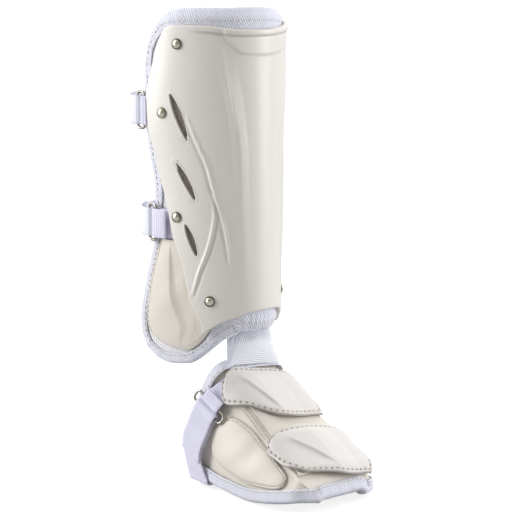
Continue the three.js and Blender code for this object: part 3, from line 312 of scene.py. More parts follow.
def makePiece(name, points, faces, look, cloth=None, shade=None):
    # points are millimetres above the sole; faces are corner numbers, four to a row
    points = np.asarray(points, float).reshape(-1, 3)
    faces = np.asarray(faces, int).reshape(-1, 4)
    a, b, c, d = (points[faces[:, k]] for k in range(4))
    volume = np.einsum("ij,ij->i", a, np.cross(b, c)) + np.einsum("ij,ij->i", a, np.cross(c, d))
    if volume.sum() < 0:
        faces = faces[:, ::-1]
    mesh = bpy.data.meshes.new(name)
    mesh.vertices.add(len(points))
    mesh.vertices.foreach_set("co", ((points - [0, 0, leg["seat"]]) / 1000).ravel())
    mesh.loops.add(faces.size)
    mesh.loops.foreach_set("vertex_index", faces.ravel())
    mesh.polygons.add(len(faces))
    mesh.polygons.foreach_set("loop_start", np.arange(0, faces.size, 4))
    mesh.polygons.foreach_set("use_smooth", np.ones(len(faces), bool))
    mesh.update(calc_edges=True)
    if cloth is not None:
        layer = mesh.uv_layers.new(name="cloth")
        layer.uv.foreach_set("vector", np.asarray(cloth, float).reshape(-1, 2)[faces.ravel()].ravel())
    level = mesh.attributes.new("shade", "FLOAT", "POINT")
    if shade is not None:
        level.data.foreach_set("value", np.clip(np.asarray(shade, float).ravel(), 0, 1))
    mesh.validate()
    mesh.materials.append(finish[look])
    piece = bpy.data.objects.new(name, mesh)
    bpy.context.scene.collection.objects.link(piece)
    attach(piece, "root")
    return piece


def gridFaces(rows, columns, start=0, loopRows=False, loopColumns=False):
    # four corners of each cell of a grid of points, row by row
    j = np.arange(rows if loopRows else rows - 1)[:, None]
    i = np.arange(columns if loopColumns else columns - 1)[None, :]
    nextJ, nextI = (j + 1) % rows, (i + 1) % columns
    corners = [j * columns + i, j * columns + nextI, nextJ * columns + nextI, nextJ * columns + i]
    return np.stack([np.broadcast_to(c, (j.size, i.size)) for c in corners], -1).reshape(-1, 4) + start


def closedSheet(outer, inner):
    # two faces of a wall, each a grid, joined round their rim
    rows, columns = outer.shape[:2]
    size = rows * columns
    top = gridFaces(rows, columns)
    under = gridFaces(rows, columns, size)[:, ::-1]
    ring = np.concatenate([
        np.arange(columns), np.arange(1, rows) * columns + columns - 1,
        (rows - 1) * columns + np.arange(columns - 2, -1, -1), np.arange(rows - 2, 0, -1) * columns,
    ])
    after = np.roll(ring, -1)
    rim = np.stack([ring, ring + size, after + size, after], -1)
    return np.concatenate([outer.reshape(-1, 3), inner.reshape(-1, 3)]), np.concatenate([top, under, rim])


def gridWays(points):
    # how far each place of a grid lies from its first column, and from its first row
    across = np.cumsum(np.linalg.norm(np.diff(points, axis=1), axis=2), 1)
    along = np.cumsum(np.linalg.norm(np.diff(points, axis=0), axis=2), 0)
    return np.pad(across, ((0, 0), (1, 0))), np.pad(along, ((1, 0), (0, 0)))


def surfaceLengths(points):
    # the cloth's own map, in millimetres: across from the middle of a row, and along
    across, along = gridWays(points)
    return np.stack([across - across[:, -1:] / 2, along], -1)


def roundedEdge(across, along, radius):
    # how far each place lies from the grid's nearest edge, and how deep a round edge sinks it
    edge = np.minimum(np.minimum(across, across[:, -1:] - across), np.minimum(along, along[-1:] - along))
    near = np.clip(1 - edge / radius, 0, 1)
    return edge, radius * (1 - np.sqrt(1 - near**2))


def sheetPiece(name, outer, inner, look, shade=None, cloth=None):
    points, faces = closedSheet(outer, inner)
    cloth = surfaceLengths(outer) if cloth is None else cloth
    shade = np.zeros(outer.shape[:2]) if shade is None else shade
    return makePiece(name, points, faces, look, np.concatenate([cloth.reshape(-1, 2)] * 2),
                     np.concatenate([shade.ravel()] * 2))


def ringPiece(name, sections, look, shade=None, closed=True, cloth=None):
    # a tube of one closed section after another, shaped (stations, corners, 3)
    stations, corners = sections.shape[:2]
    faces = gridFaces(stations, corners, 0, closed, True)
    cloth = surfaceLengths(sections) if cloth is None else cloth
    return makePiece(name, sections, faces, look, cloth, shade)


def unit(v):
    return v / np.maximum(np.linalg.norm(v, axis=-1, keepdims=True), 1e-9)


def gridShares(columns, rows, low=0):
    # a grid's two shares, across and up, each from low to 1
    return np.linspace(low, 1, columns + 1)[None, :], np.linspace(low, 1, rows + 1)[:, None]


stitch = {"steps": 7, "corners": 6, "radius": 0.42, "rise": 0.3}


def threads(name, starts, ends, outs, radius=stitch["radius"], rise=stitch["rise"]):
    # one short round stitch from each start to each end, humped out from the cloth between them
    steps, corners = stitch["steps"], stitch["corners"]
    t = np.linspace(0, 1, steps)[None, :, None]
    middle = mix(starts[:, None], ends[:, None], t) + outs[:, None] * (np.sin(np.pi * t) * rise)
    way = unit(ends - starts)[:, None, None]
    out = outs[:, None, None]
    side = unit(np.cross(way, out))
    turn = np.linspace(0, 2 * np.pi, corners, endpoint=False)[None, None, :, None]
    size = radius * np.sqrt(np.clip(1 - (2 * t[..., None] - 1) ** 2, 0.02, 1)) ** 0.7
    ring = middle[:, :, None] + size * (np.cos(turn) * side + np.sin(turn) * out)
    first = np.arange(len(starts))[:, None, None] * steps * corners
    return makePiece(name, ring, gridFaces(steps, corners, 0, False, True)[None] + first, "thread")


def spacedAlong(line, pitch, length):
    # starts and ends of dashes of a length, one in every pitch, along a dense line
    begins = np.arange(pitch / 2, wayAlong(line)[-1] - length, pitch)
    return placesAt(line, begins), placesAt(line, begins + length)


def stitchRow(name, line, outs, pitch, length, radius=stitch["radius"], rise=stitch["rise"]):
    # stitches along a dense line, each humped out the way that the line's nearest place faces
    begin, end = spacedAlong(line, pitch, length)
    near = np.linalg.norm(line[None] - begin[:, None], axis=2).argmin(1)
    return threads(name, begin, end, outs[near], radius, rise)


# The leg's map

legRows = table(
    "height front side back",
    (0.219, 0.72, 1.0, 1.96), (0.316, 0.74, 1.0, 1.96), (0.414, 0.78, 1.0, 1.63),
    (0.511, 0.82, 0.99, 1.14), (0.608, 0.86, 0.98, 0.98), (0.779, 0.98, 1.065, 1.065),
    (0.925, 1.1, 0.87, 0.87), (1.046, 1.16, 0.78, 0.78),
)


def legRadii(height):
    share = np.asarray(height, float) / leg["height"]
    return (leg["frontRadius"] * readRows(legRows, "height", share, "front"),
            leg["sideRadius"] * readRows(legRows, "height", share, "side"),
            leg["sideRadius"] * readRows(legRows, "height", share, "back"))


def legPoint(angle, height, offset):
    # three arcs on each side, front, side and back, each carrying on from the last; offset is
    # added along the way that the section faces
    angle, height, offset = np.broadcast_arrays(*(np.asarray(x, float) for x in (angle, height, offset)))
    front, side, back = legRadii(height)
    turn = np.abs(angle)
    first, second = math.radians(leg["frontArc"]), math.radians(leg["sideArc"])
    a = np.radians(np.minimum(turn, leg["frontArc"]))
    b = np.radians(np.clip(turn, leg["frontArc"], leg["sideArc"]))
    c = np.radians(np.maximum(turn, leg["sideArc"]))
    end = np.radians(turn)
    out = front * np.sin(a) + side * (np.sin(b) - math.sin(first))
    out = out + back * (np.sin(c) - math.sin(second)) + offset * np.sin(end)
    depth = front * (1 - np.cos(a)) + side * (math.cos(first) - np.cos(b))
    depth = depth + back * (math.cos(second) - np.cos(c)) - offset * np.cos(end)
    depth = depth + leg["lean"] * (height / leg["height"] - leg["leanShare"]) - leg["reach"]
    return np.stack([-np.sign(angle) * out, depth, height], -1)


def legRadius(angle, height):
    front, side, back = legRadii(height)
    turn = np.abs(angle)
    return np.where(turn < leg["frontArc"], front, np.where(turn < leg["sideArc"], side, back))


def legFlat(angle, height):
    # the leg's face rolled out: millimetres round from the front, and height
    front, side, back = legRadii(height)
    turn = np.abs(angle)
    arc = front * np.minimum(turn, leg["frontArc"])
    arc = arc + side * np.clip(turn - leg["frontArc"], 0, leg["sideArc"] - leg["frontArc"])
    arc = arc + back * np.maximum(turn - leg["sideArc"], 0)
    return np.stack([np.sign(angle) * np.radians(arc), np.broadcast_to(height, arc.shape)], -1)


def legOut(angle):
    a = np.radians(angle)
    return np.stack([-np.sin(a), -np.cos(a), np.zeros_like(a)], -1)


def movedSpot(spot, along, up):
    turn = np.degrees(along / legRadius(spot[..., 0], spot[..., 1]))
    return np.stack([spot[..., 0] + turn, spot[..., 1] + up], -1)


def insetLoop(loop, distance):
    # a closed loop of spots moved inwards over the leg's face
    gap = np.roll(loop, -1, 0) - np.roll(loop, 1, 0)
    along = np.radians(gap[:, 0]) * legRadius(loop[:, 0], loop[:, 1])
    length = np.hypot(along, gap[:, 1]) / np.ravel(distance)
    return movedSpot(loop, -gap[:, 1] / length, along / length)


# Edges of the liner, in degrees and shares of the guard's height

edgeRows = {
    "top": table("angle height", (0, 1), (30, 1), (56, 1), (72, 0.998), (83, 0.991), (93, 0.972),
                 (100, 0.948)),
    "outerTop": table("angle height", (0, 1), (30, 0.994), (56, 0.987), (72, 0.982), (83, 0.974),
                      (93, 0.961), (100, 0.948)),
    "side": table("angle height", (97, 0.6), (95, 0.7), (94, 0.745), (96, 0.825), (102.5, 0.88),
                  (103.5, 0.917), (100, 0.948)),
    "lobe": table("angle height", (88, 0.264), (90, 0.29), (91, 0.318), (91.5, 0.36), (91.5, 0.42),
                  (93, 0.48), (96, 0.55)),
    "outerSide": table("angle height", (74, 0.335), (80, 0.36), (85, 0.42), (91, 0.49), (95.5, 0.55)),
    "bottom": table("angle height", (-74, 0.335), (-62, 0.324), (-46, 0.32), (-20, 0.321), (6, 0.323),
                    (30, 0.325), (41, 0.32), (49, 0.307), (58, 0.282), (65, 0.262), (73, 0.246),
                    (81, 0.241), (88, 0.264)),
}


def edgeSpots(name, side):
    rows = edgeRows[name]
    return np.stack([rows["angle"] * side, rows["height"] * leg["height"]], -1)


def linerEdges(across, up):
    # the four edges of the liner: bottom, inner side, top and outer side, in order round it
    bottom = smoothLine(edgeSpots("bottom", 1), across)
    inner = smoothLine(np.vstack([edgeSpots("lobe", 1), edgeSpots("side", 1)]), up)
    top = smoothLine(np.vstack([edgeSpots("top", 1)[::-1], edgeSpots("outerTop", -1)[1:]]), across)
    outer = smoothLine(np.vstack([edgeSpots("outerSide", -1), edgeSpots("side", -1)]), up)[::-1]
    return np.vstack([edge[:-1] for edge in (bottom, inner, top, outer)])


def patchSpots(loop, across, up):
    # blended from its four edges: a straight mix both ways less the mix of the four corners
    u = np.linspace(0, 1, across + 1)[None, :, None]
    v = np.linspace(0, 1, up + 1)[:, None, None]
    wrap = np.vstack([loop, loop[:1]])
    bottom = wrap[:across + 1][None]
    inner = wrap[across:across + up + 1][:, None]
    top = wrap[across + up:2 * across + up + 1][::-1][None]
    outer = wrap[2 * across + up:][::-1][:, None]
    low = mix(bottom[:, :1], bottom[:, -1:], u)
    high = mix(top[:, :1], top[:, -1:], u)
    return mix(bottom, top, v) + mix(outer, inner, u) - mix(low, high, v)


# The shell

shell = {
    "columns": 230, "rows": 190, "creaseColumn": 0.34, "crowdAcross": 0.12, "crowdUp": 0.035,
    "edgeRound": 1.1, "crease": 1.7, "creaseReach": 9, "collar": 1.5, "collarSlope": 0.0035,
    "collarFade": (36, 41), "lip": 1.0, "lipHeight": 5.2, "lipSlope": 1.3, "lipFade": (48, 66),
    "groove": 0.55, "grooveShade": 0.55, "rib": 1.35, "ribWidth": 1.35, "valley": 0.8, "valleyIn": 2.9,
    "valleyWidth": 1.3, "line": 0.7, "lineWidth": 0.9, "slotClear": 0.15,
}
shellEdges = {
    "bottom": table("angle height", (0, 0.369), (12, 0.3685), (26, 0.366), (39, 0.359), (46, 0.351),
                    (52, 0.341), (57, 0.329), (61.5, 0.316)),
    "top": table("angle height", (0, 0.956), (30, 0.959), (55, 0.966), (73, 0.965), (79, 0.96),
                 (82, 0.949)),
    "back": table("height angle", (0.316, 61.5), (0.334, 62), (0.353, 64), (0.384, 68), (0.443, 71),
                  (0.483, 73.5), (0.522, 77.5), (0.588, 81.5), (0.64, 84.5), (0.7, 85.5), (0.76, 88),
                  (0.83, 88.5), (0.88, 87.5), (0.92, 86), (0.949, 82)),
    "crease": table("height angle", (0.36, 29), (0.45, 29), (0.607, 31), (0.7, 30), (0.8, 33),
                    (0.86, 36), (0.96, 38.5)),
    "step": table("angle height", (0, 0.904), (24, 0.909), (30, 0.92), (38, 0.943)),
}
slotRows = table(
    "topAngle topHeight lowAngle lowHeight width bow",
    (72, 0.824, 63, 0.727, 5.6, 1.6), (72.5, 0.684, 62.5, 0.602, 5, 0.8), (69.5, 0.551, 63, 0.485, 4.8, 0.8),
)
ribSpots = [
    [(62, 0.775), (57, 0.715), (54, 0.68), (52, 0.637), (49.5, 0.59), (46.5, 0.55), (45, 0.51), (44, 0.475)],
    [(53, 0.615), (52, 0.58), (53.5, 0.54), (57, 0.495), (61.5, 0.455), (66, 0.405)],
]
raisedLine = [(40.5, 0.925), (38.5, 0.88), (35.5, 0.82), (32.5, 0.76)]
rivetRows = [("top", 70, 0.927), ("upper", 76.5, 0.783), ("lower", 74.5, 0.565), ("ankle", 56.5, 0.3905)]


def shellSpots(u, v):
    # u runs from edge to edge, -1 to 1, and v up; the crease keeps to one column of the grid
    back, column = shellEdges["back"], shell["creaseColumn"]
    share = mix(back["height"][0], back["height"][-1], v)
    edge = readRows(back, "height", share, "angle")
    line = readRows(shellEdges["crease"], "height", share, "angle")
    part = np.abs(u)
    angle = np.where(part <= column, line * part / column,
                     mix(line, edge, (part - column) / (1 - column)))
    low = readRows(shellEdges["bottom"], "angle", angle * back["angle"][0] / edge, "height")
    high = readRows(shellEdges["top"], "angle", angle * back["angle"][-1] / edge, "height")
    return np.sign(u + 1e-12) * angle, mix(low, high, v) * leg["height"]


def nearestOnLine(flat, spots, count=90):
    # distance to a line over the leg's rolled-out face, which side of it, and how far along
    line = smoothLine(np.array(spots) * [1, leg["height"]], count)
    line = legFlat(line[:, 0], line[:, 1])
    gap = flat[..., None, :] - line
    size = np.einsum("...k,...k->...", gap, gap)
    k = size.argmin(-1)
    way = unit(np.gradient(line, axis=0))[k]
    near = np.take_along_axis(gap, k[..., None, None], -2)[..., 0, :]
    side = way[..., 0] * near[..., 1] - way[..., 1] * near[..., 0]
    return np.sqrt(size.min(-1)), side, k / count


def slotFrame(k):
    # a slot's middle as angle and height, its way over the rolled-out leg, and its length
    row = {key: values[k] for key, values in slotRows.items()}
    middle = np.array([(row["topAngle"] + row["lowAngle"]) / 2,
                       (row["topHeight"] + row["lowHeight"]) / 2 * leg["height"]])
    along = math.radians(row["topAngle"] - row["lowAngle"]) * float(legRadius(*middle))
    rise = (row["topHeight"] - row["lowHeight"]) * leg["height"]
    return row, middle, along, rise, math.hypot(along, rise)


def slotGap(flat, k):
    # about how many millimetres outside a slot's outline each place is; the slot is a lens bowed
    # forwards, with a map of its own that is 1 on the outline
    row, middle, along, rise, length = slotFrame(k)
    gap = flat - legFlat(*middle)
    far = (gap[..., 0] * along + gap[..., 1] * rise) / length
    wide = (gap[..., 0] * rise - gap[..., 1] * along) / length
    a = 2 * far / length
    taper = row["width"] / 2 * (1.3 - 0.3 * np.clip(a * a, 0, 1))
    b = (wide + row["bow"] * np.clip(1 - a * a, 0, 1)) / taper
    size = np.hypot(a, b)
    reach = np.hypot(a * length / 2, b * row["width"] / 2)
    return (size - 1) * np.where(size > 1e-6, reach / size, 0)


def slotOutline(k, grow, count):
    # the slot's outline let out by some millimetres, as spots of angle and height
    row, middle, along, rise, length = slotFrame(k)
    t = np.linspace(0, 2 * np.pi, count, endpoint=False)
    far = length / 2 * np.cos(t)
    wide = row["width"] / 2 * np.sin(t) * (1.15 - 0.15 * np.cos(2 * t)) - row["bow"] * np.sin(t) ** 2
    loop = np.stack([far, wide], -1)
    way = np.roll(loop, -1, 0) - np.roll(loop, 1, 0)
    out = unit(np.stack([way[:, 1], -way[:, 0]], -1))
    loop = loop[None] + out[None] * np.asarray(grow, float).reshape(-1, 1, 1)
    across = (loop[..., 0] * along + loop[..., 1] * rise) / length
    up = (loop[..., 0] * rise - loop[..., 1] * along) / length
    return movedSpot(np.broadcast_to(middle, across.shape + (2,)), across, up)


def shellFace(angle, height):
    # the moulded face's height over the plain leg, and the painted shade in the groove under its lip
    turn = np.abs(angle)
    flat = legFlat(turn, height)
    share = height / leg["height"]
    crease = readRows(shellEdges["crease"], "height", share, "angle")
    ends = (0.3 + 0.7 * ease(share, 0.5, 0.78)) * ease(share, 0.37, 0.5) * (1 - ease(share, 0.82, 0.92))
    far = np.sqrt((turn - crease) ** 2 + 0.5) / shell["creaseReach"]
    ridge = shell["crease"] * ends * np.clip(1 - far, 0, 1)
    step = readRows(shellEdges["step"], "angle", turn, "height")
    fade = 1 - ease(turn, *shell["collarFade"])
    collar = shell["collar"] * ease(share, step - shell["collarSlope"], step + shell["collarSlope"]) * fade
    lipFoot = readRows(shellEdges["top"], "angle", turn, "height") * leg["height"] - shell["lipHeight"]
    front = 1 - ease(turn, *shell["lipFade"])
    lip = shell["lip"] * front * ease(height, lipFoot, lipFoot + shell["lipSlope"])
    relief = ridge + collar + lip - shell["groove"] * front * hump(height - (lipFoot - 0.6), 0.9)
    shade = shell["grooveShade"] * front * hump(height - (lipFoot - 0.5), 0.8)
    for number, spots in enumerate(ribSpots):
        distance, side, along = nearestOnLine(flat, spots)
        taper = np.sin(np.pi * (along * 0.86 + 0.07)) ** 0.6
        relief = relief + shell["rib"] * taper * hump(distance, shell["ribWidth"])
        # a valley follows one side of each rib
        valley = shell["valley"] * taper * hump(distance - shell["valleyIn"], shell["valleyWidth"])
        relief = relief - valley * (side * (1 - 2 * number) > 0)
    distance, side, along = nearestOnLine(flat, raisedLine)
    taper = np.sin(np.pi * (along * 0.9 + 0.05)) ** 0.4
    return relief + shell["line"] * taper * hump(distance, shell["lineWidth"]), shade


def shellGrid():
    # rows and columns crowd towards the edges, where the wall rounds over
    u = np.linspace(-1, 1, shell["columns"] + 1)[None, :]
    v = np.linspace(0, 1, shell["rows"] + 1)[:, None]
    u = u * (1 + shell["crowdAcross"] * (1 - u * u))
    v = v - shell["crowdUp"] * np.sin(2 * np.pi * v)
    return shellSpots(*np.broadcast_arrays(u, v))


def insideSlots(angle, height):
    flat = legFlat(np.abs(angle), height)
    return np.min([slotGap(flat, k) for k in range(len(slotRows["width"]))], 0) < shell["slotClear"]


# a slot's rolled rim, from the outer face through the wall to the inner face: how far out from the
# slot's outline each ring of it runs, and its offset
slotRim = table("grow offset", (2.1, -0.25), (1.7, 0.02), (1.1, 0.2), (0.5, 0.22), (0.1, 0), (0, -0.5),
                (0, -1.6), (0, -2.6), (0.3, -3.15), (1.2, -3.25), (2.1, -2.9))
rimCorners = 72


def slotRimRings(k, side, start):
    # points, faces and painted shade of one slot's rim, darker deeper into the slot; its outer rings follow
    # the moulded face
    grow, offset = slotRim["grow"], slotRim["offset"][:, None]
    loop = slotOutline(k, grow, rimCorners)
    onFace = (grow[:, None] > 0.4) & (offset > -0.45)
    lift = np.where(onFace, shellFace(loop[..., 0], loop[..., 1])[0], 0)
    rings = legPoint(side * loop[..., 0], loop[..., 1], offset + lift)
    faces = gridFaces(len(rings), rimCorners, start, False, True)
    shade = np.repeat(ease(-slotRim["offset"], 0.2, 2.6) * 0.8, rimCorners)
    return rings.reshape(-1, 3), faces if side < 0 else faces[:, ::-1], shade


def buildShell():
    angle, height = shellGrid()
    relief, shade = shellFace(angle, height)
    edge, sink = roundedEdge(*gridWays(legPoint(angle, height, 0)), shell["edgeRound"])
    # painted shade along the shell's rounded rim
    shade = shade + 0.35 * hump(edge, 0.5)
    points, faces = closedSheet(legPoint(angle, height, relief - sink),
                                legPoint(angle, height, layers["shellInner"] + 0.4 * sink))
    gone = np.concatenate([insideSlots(angle, height).ravel()] * 2)
    parts = [(points, faces[~gone[faces].any(1)], np.concatenate([shade.ravel(), shade.ravel() * 0]))]
    start = len(points)
    for side in (1, -1):
        for k in range(len(slotRows["width"])):
            parts.append(slotRimRings(k, side, start))
            start += len(parts[-1][0])
    points, faces, shade = (np.concatenate(column) for column in zip(*parts))
    piece = makePiece("shin_shell_moulded", points, faces, "shell", None, shade)
    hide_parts("shin_shell")


buildShell()
print("shell made")


# Rivets: a pressed cap with a rolled rim, turned from a profile of radius and height

rivetCorners = 40
rivetProfile = smoothLine([(1.9, -3.4), (1.9, 0.3), (4.2, 0.34), (4.7, 0.62), (4.62, 1.1), (4.1, 1.42),
                           (3.55, 1.35), (3.3, 1.62), (2.6, 2.3), (1.4, 2.85), (0.3, 3.05), (0.01, 3.07)], 60)


def buildRivets():
    turn = np.linspace(0, 2 * np.pi, rivetCorners, endpoint=False)[:, None]
    radius, rise = rivetProfile[:, :1, None], rivetProfile[:, 1:, None]
    up = np.array([0, 0, 1])
    # painted shade: the rim is painted darker, the crown stays bright
    shade = ease(rivetProfile[:, 0], 3.0, 3.9)[:, None] * np.full(rivetCorners, 0.9)
    for name, angle, share in rivetRows:
        for side, sign in (("inner", 1), ("outer", -1)):
            at = legPoint(sign * angle, share * leg["height"], 0.0)
            out = legOut(np.array(float(sign * angle)))
            ring = np.cos(turn) * np.cross(up, out) + np.sin(turn) * up
            piece = ringPiece(f"rivet_cap_{name}_{side}", at + radius * ring + rise * out, "rivet", shade,
                              False)
            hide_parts(f"rivet_{name}_{side}")


buildRivets()


# The liner: a padded body and the tape folded over its whole edge

liner = {
    "across": 150, "up": 190, "inset": 1.6, "puff": 1.3, "pinch": 1.2, "wrinkle": 0.25,
    "tapeWidth": 9.5, "tapeWall": 1.0, "topWidth": 20, "sideWidth": 14, "lift": 1.7, "stitchIn": 7.9,
    "topStitchIn": 10.5, "stitchPitch": 5.2, "stitchLength": 3.4, "foldAt": -11, "axis": 20,
}
# where the shell's slots show the liner it gets a warm painted shade: angles and heights over which that
# patch fades in and out
slotShadePatch = {"front": (54, 58), "back": (77, 81), "low": (190, 196), "high": (350, 356)}
linerLoop = linerEdges(liner["across"], liner["up"])


def buildPad():
    spots = patchSpots(insetLoop(linerLoop, liner["inset"]), liner["across"], liner["up"])
    angle, height = spots[..., 0], spots[..., 1]
    turn, flat = np.abs(angle), legFlat(angle, height)
    u, v = gridShares(liner["across"], liner["up"], -1)
    edge = np.minimum(1 - np.abs(u), (1 - np.abs(v)) * 1.3)
    swell = 1 - (1 - np.clip(edge / 0.09, 0, 1)) ** 2
    wrinkle = np.sin(flat[..., 0] / 5.1 + 1.2 * np.sin(flat[..., 1] / 17)) * np.sin(flat[..., 1] / 6.3 + 2)
    inside = layers["padInner"] + liner["pinch"] - swell * (liner["pinch"] + liner["puff"])
    inside = inside - liner["wrinkle"] * wrinkle * swell
    # gathers along the lower edge of the front
    low = ease(-v, 0.86, 0.99) * swell * (turn < 70)
    outside = layers["padOuter"] - liner["pinch"] * (1 - swell)
    outside = outside + low * (0.3 + 0.25 * np.sin(flat[..., 0] / 1.9))
    back = ease(turn, *slotShadePatch["front"]) * (1 - ease(turn, *slotShadePatch["back"]))
    back = back * ease(height, *slotShadePatch["low"]) * (1 - ease(height, *slotShadePatch["high"]))
    points, faces = closedSheet(legPoint(angle, height, outside), legPoint(angle, height, inside))
    cloth = np.concatenate([flat.reshape(-1, 2)] * 2)
    # painted shade on the liner's outer face behind the slots
    shade = np.concatenate([back.ravel() * 0.9, np.zeros(back.size)])
    piece = makePiece("shin_liner", points, faces, "pad", cloth, shade)
    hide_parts("shin_pad")


def tapeProfile(width, outer, inner, wall):
    # a folded tape's section: out over one face, round the edge, back under the other
    middle, half = (outer + inner) / 2, (outer - inner) / 2
    over = [(width, outer - 0.35), (width - 0.5, outer), (width * 0.5, outer + 0.12), (wall * 2.6, outer),
            (wall * 0.9, middle + half * 0.78), (0, middle + half * 0.3)]
    under = [(reach, 2 * middle - offset) for reach, offset in over[::-1]]
    inside = [(width, inner + wall), (wall * 2, inner + wall), (wall, middle), (wall * 2, outer - wall),
              (width, outer - wall)]
    return np.vstack([smoothLine(over + under, 44), inside])


def buildShinBinding():
    loop = linerEdges(420, 520)
    smoothLoop = blurLoop(loop, 6)
    profile = tapeProfile(liner["tapeWidth"], layers["tapeOuter"], layers["tapeInner"], liner["tapeWall"])
    way = wayAlong(legFlat(loop[:, 0], loop[:, 1]))
    # along the top, the front's lower edge and the upper sides it is wider and runs under the shell
    turn, share = np.abs(loop[:, 0]), loop[:, 1] / leg["height"]
    atTop = (1 - ease(turn, 78, 92)) * (share > 0.9)
    atLow = (1 - ease(turn, 44, 60)) * (share < 0.4)
    atSide = ease(share, 0.52, 0.62) * (1 - atTop)
    atBoth = atTop + atLow
    width = mix(liner["tapeWidth"], liner["topWidth"], atBoth)
    width = width + (liner["sideWidth"] - liner["tapeWidth"]) * atSide
    widen = width / liner["tapeWidth"]
    # it ripples all round, and is gathered across the front's lower edge
    ripple = 0.14 * np.sin(way / 2.3) + 0.1 * np.sin(way / 5.7 + 1)
    ripple = ripple + 0.2 * atLow * np.sin(way / 0.95 + 2 * np.sin(way / 7))
    sections = []
    for inward, offset in profile:
        place = insetLoop(smoothLoop, inward * widen)
        outside = float(offset > liner["foldAt"])
        lift = liner["lift"] * atBoth * outside * ease(inward, 1, 4)
        level = offset + lift + ripple * (inward < 8) * (2 * outside - 1)
        sections.append(legPoint(place[:, 0], place[:, 1], level))
    cloth = np.stack(np.broadcast_arrays(way[:, None], wayAlong(profile)[None, :]), -1)
    stitchIn = mix(liner["stitchIn"], liner["topStitchIn"], atTop)
    # painted shade along the groove of the stitch line
    shade = 0.25 * hump(profile[None, :, 0] * widen[:, None] - stitchIn[:, None], 0.45)
    piece = ringPiece("shin_binding_tape", np.stack(sections, 1), "tape", shade, True, cloth)
    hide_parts("shin_binding")
    # a row of stitches near the tape's inner edge, on both faces
    place = insetLoop(smoothLoop, stitchIn)
    raised = layers["tapeOuter"] + 0.1 + liner["lift"] * atBoth
    rows = []
    for offset, sign in ((raised, 1), (layers["tapeInner"] - 0.1, -1)):
        line = legPoint(place[:, 0], place[:, 1], offset)
        begin, end = spacedAlong(line, liner["stitchPitch"], liner["stitchLength"])
        facing = np.degrees(np.arctan2(-begin[:, 0], -(begin[:, 1] - liner["axis"])))
        rows.append((begin, end, sign * legOut(facing)))
    row = threads("shin_binding_stitches", *(np.vstack(column) for column in zip(*rows)))


buildPad()
buildShinBinding()
print("liner made")


# The ankle panel: a domed leather patch, its front edge under the shell

panel = {
    "columns": 80, "rows": 160, "wall": 2, "dome": 3, "seatLift": 0.6, "ceiling": 0.4,
    "stitchIn": 2.6, "groove": 0.5, "stitchPitch": 4.6, "stitchLength": 2.9, "facing": 78,
    "back": table("height angle", (0.278, 76), (0.285, 81), (0.303, 85.8), (0.335, 87.7), (0.4, 88),
                  (0.45, 88), (0.49, 88), (0.512, 87.5)),
    "front": table("height angle", (0.278, 72), (0.286, 68), (0.302, 63), (0.33, 58), (0.384, 63),
                   (0.443, 67), (0.483, 70.5), (0.512, 74.5)),
}


def buildAnklePanel():
    u, v = gridShares(panel["columns"], panel["rows"])
    share = mix(panel["back"]["height"][0], panel["back"]["height"][-1], v)
    front = readRows(panel["front"], "height", share, "angle")
    back = readRows(panel["back"], "height", share, "angle")
    angle, height = np.broadcast_arrays(mix(front, back, u), share * leg["height"])
    seat = layers["padOuter"] + panel["seatLift"]
    dome = np.sin(np.pi * u) ** 0.7 * np.sin(np.pi * v) ** 0.6
    # it stays under the shell along its front edge
    ceiling = mix(layers["webbingOuter"], panel["ceiling"], ease(u, 0.45, 0.7))
    top = np.minimum(seat + panel["wall"] + panel["dome"] * dome, ceiling)
    flat = legFlat(angle, height)
    spine = np.linalg.norm(flat - flat[:, -1:], axis=-1)
    stitched = hump(spine - panel["stitchIn"], 0.8)
    creases = 0.3 * np.sin(flat[..., 1] / 7 + flat[..., 0] / 9) * dome
    creases = creases + 0.12 * np.sin(flat[..., 1] / 2.6) * hump(spine, 5)
    top = top - panel["groove"] * stitched + creases * (u > 0.3)
    sink = np.clip(1 - spine / 1.2, 0, 1) ** 2 * 0.9
    # painted shade along the stitched groove
    piece = sheetPiece("ankle_panel_leather", legPoint(angle, height, top - sink),
                       legPoint(angle, height, seat), "leather", 0.3 * stitched, flat)
    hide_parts("ankle_panel")
    # stitches follow the back edge, short of the patch's two ends
    kept = slice(8, -8)
    nearest = np.abs(spine[kept] - panel["stitchIn"]).argmin(1)
    line = legPoint(angle, height, top)[kept][np.arange(len(nearest)), nearest]
    outs = np.broadcast_to(legOut(np.array(float(panel["facing"]))), line.shape)
    row = stitchRow("ankle_panel_stitches", line, outs, panel["stitchPitch"], panel["stitchLength"],
                    rise=0.35)


buildAnklePanel()


# Webbing bands and wire rings

# a tab starts some degrees before the rivet, and ends some degrees before the ring
strap = {
    "width": 25, "wall": 1.8, "tabWall": 1.3, "wire": 1.25, "ringCorner": 3, "ring": 9, "depth": 36,
    "fold": 62, "innerLap": 1.4, "outerLap": 0.6, "arcStart": 0.06, "clear": 0.3, "tabFrom": 4, "tabTo": 4,
    "tabBack": 15, "tabDrop": 1.2,
}
strap["ringOffset"] = layers["tapeOuter"] + 0.6 + strap["wall"] + 2 * strap["clear"] + strap["wire"]
strap["foldRadius"] = strap["wire"] + 2 * strap["clear"] + strap["wall"] / 2
strap["tabRadius"] = strap["wire"] + strap["clear"] + strap["tabWall"] / 2
calfStraps = [("upper", 0.784, 92, 76.5), ("lower", 0.546, 92.5, 74.5)]


def bandEdge(across):
    # a band's thickness over its width, as a share: square with rounded corners
    return (1 - np.abs(across) ** 14) ** 0.5


def halfTurn(centre, first, second, radius, steps):
    t = np.linspace(0, np.pi, steps)[:, None]
    return centre + radius * (np.cos(t) * first + np.sin(t) * second)


